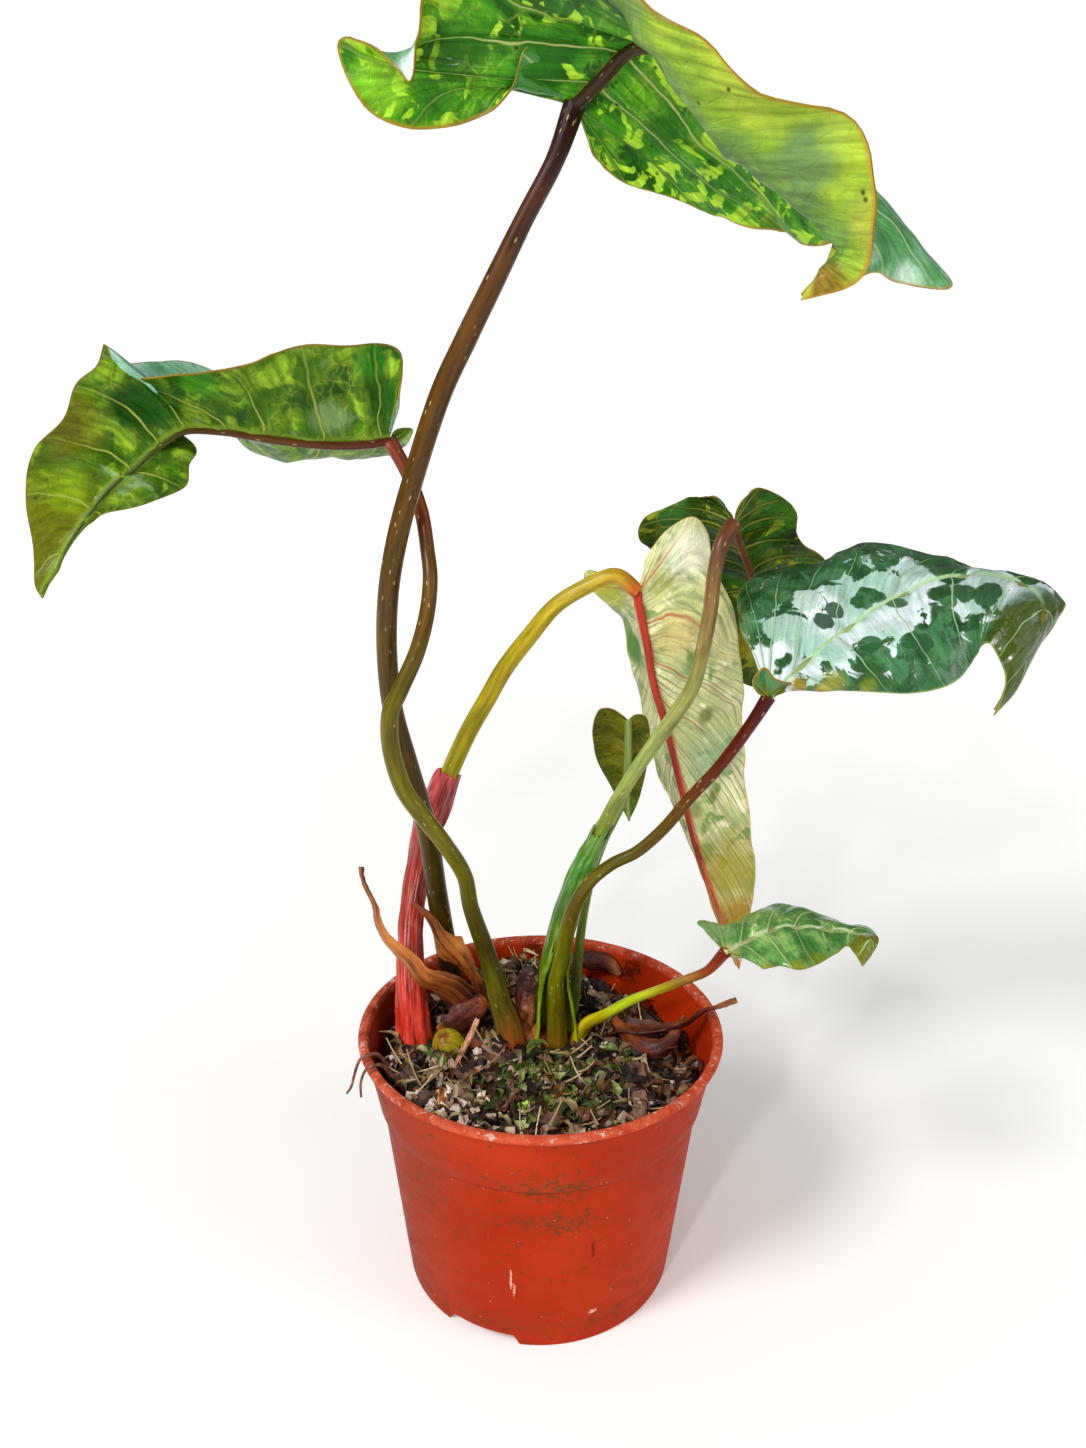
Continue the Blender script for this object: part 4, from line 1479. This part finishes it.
perlite = strew("perlite", grain_model, 380, (0.5, 2.2), (0.0, 1.0), 0.6, 3.0)
fresh()
bpy.ops.mesh.primitive_circle_add(vertices=4, radius=0.03, fill_type="NGON")
splinter = bpy.context.object
bpy.ops.object.mode_set(mode="EDIT")
for step in range(4):
    bpy.ops.mesh.extrude_region_move(TRANSFORM_OT_translate={"value": (0.05 * step, 0.04, 0.25)})
    bpy.ops.transform.resize(value=(0.9, 0.9, 0.9))
bpy.ops.mesh.select_all(action="SELECT")
bpy.ops.mesh.normals_make_consistent(inside=False)
bpy.ops.transform.rotate(value=math.radians(80), orient_axis="Y", center_override=(0, 0, 0))
bpy.ops.object.mode_set(mode="OBJECT")
short = duplicate(splinter)
straw = strew("straw", splinter, 120, (5, 16), (0.4, 1.1), 0.14, 0.3)
fibres = strew("heaped_fibres", short, 80, (3, 9), (0.7, 1.1), 0.3, 1.2,
               centre=(-6, 42), reach=7)
print("chips", len(chips.data.polygons), "flakes", len(flakes.data.polygons))

# %% Leaf litter and moss
def leaflet_model(wide, curl):
    """One small pointed leaf, one unit long, folded and curled."""
    fresh()
    bpy.ops.mesh.primitive_plane_add(size=1, location=(0.5, 0, 0))
    leaflet = bpy.context.object
    bpy.ops.object.transform_apply(location=True)
    bpy.ops.object.mode_set(mode="EDIT")
    bpy.ops.mesh.subdivide(number_cuts=3)
    bpy.ops.object.mode_set(mode="OBJECT")
    for vertex in leaflet.data.vertices:
        along = vertex.co.x
        vertex.co.y *= wide * math.sin(math.pi * min(1, 0.12 + 0.86 * along))
        vertex.co.z = curl * (along - along * along) + 0.7 * abs(vertex.co.y)
        vertex.co.y += 0.25 * along * along
    return leaflet


litter = strew("leaf_litter", leaflet_model(0.6, 1.6), 480, (3, 8), (0.0, 0.75), 0.15, 1.3)
shreds = strew("twisted_litter", leaflet_model(0.3, 2.2), 330, (4, 10), (0.3, 1.0), 0.15, 1.3)
greens = strew("green_litter", leaflet_model(0.7, 1.2), 260, (3, 7.5), (0.1, 0.8), 0.2, 1.2,
               centre=(3, -16), reach=13)
leaflet = leaflet_model(0.55, 0.6)
tuft = []
for turn in range(5):
    copy = duplicate(leaflet)
    spread, tip = Matrix.Rotation(turn * 1.257, 4, "Z"), Matrix.Rotation(-0.5 * (turn % 2), 4, "Y")
    copy.data.transform(spread @ tip)
    tuft.append(copy)
bpy.data.objects.remove(leaflet)
moss = strew("moss", joined(tuft, "tuft"), 130, (1.8, 4), (0.4, 1.0), 0.2, 0.8,
             centre=(4, -18), reach=11)
for piece in (litter, shreds, greens, moss):
    smooth(piece, 60)
STRAP = [(-47, 5, 76, 3, 60), (-42, 0, 79, 4, 60), (-37, -5, 80, 4.5, 60), (-31, -10, 79.5, 4, 60),
         (-22, -17, 78.5, 3, 60), (-12, -25, 77, 1.5, 60)]
strap = dried_strip("strap_leaf", STRAP, 12, 60)

# %% [markdown]
# The chips, grains and leaflets of one kind share a finish, and `tone`, a random number that
# each copy carries, picks its own colour from that finish's range.

# %% Finishes of the mix
def strewn_skin(name, stops, grain_mm, roughness):
    """Loose pieces: each has its own tone, clouded a little."""
    made = start_material(name)
    tone = node("Attribute", out=2, attribute_name="tone")
    cloud = clouds(node("TexCoord", out=3), grain_mm, 4.0)
    colour = ramp(minus(added(cloud, 0.5, tone), 0.25), stops)
    shade(colour, roughness, cloud, 0.6, 0.3)
    return made


peat = bark_skin("peat_dark", "#0c0806", "#1e140e", "#402c1e", 2.5, 0.85)
bark = strewn_skin(
    "composted_bark",
    [(0.0, "#1c120c"), (0.35, "#3c261a"), (0.6, "#6e4a38"), (0.8, "#a07a64"), (1.0, "#d8bca0")],
    2, 0.7)
white_grain = strewn_skin("expanded_perlite", [(0.0, "#b8b0a4"), (1.0, "#f4f0ea")], 0.8, 0.8)
stone = strewn_skin(
    "pinkish_stone", [(0.0, "#8a6450"), (0.6, "#c49c82"), (1.0, "#ecd8c4")], 1.5, 0.6)
straw_skin = strewn_skin(
    "dry_straw", [(0.0, "#4a301c"), (0.5, "#a07a48"), (1.0, "#e4c898")], 2, 0.6)
litter_skin = strewn_skin(
    "damp_leaf_litter",
    [(0.0, "#140c08"), (0.25, "#3a2012"), (0.45, "#6a3c22"), (0.6, "#6e5434"), (0.8, "#9a8458"),
     (1.0, "#d8c4a0")],
    1.6, 0.4)
moss_skin = strewn_skin(
    "living_moss",
    [(0.0, "#1c240a"), (0.35, "#3c4814"), (0.6, "#66742a"), (0.8, "#8a944a"), (1.0, "#b4b67c")],
    1.8, 0.45)
strap_skin = stem_skin("green_strap", 60, [(0.0, "#2c4a1c"), (0.4, "#4c7a34"), (1.0, "#2a3c12")])
for piece, skin in ((mix, peat), (chips, bark), (flakes, bark), (heap, bark), (stones, stone),
                    (perlite, white_grain), (straw, straw_skin), (fibres, straw_skin),
                    (litter, litter_skin), (shreds, litter_skin), (greens, moss_skin),
                    (moss, moss_skin), (strap, strap_skin)):
    dress(piece, ["potting_mix"] if piece is mix else [], "mix", skin)

# %% [markdown]
# ## Measure and finish
# The dressed plant must keep the size of its solids, so both boxes are written down.

# %% Size and finish
low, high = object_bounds()
grown = [[round((b - a) / MM, 1) for a, b in zip(cad, dressed)]
         for cad, dressed in ((cad_low, low), (cad_high, high))]
print("grown by", *grown)
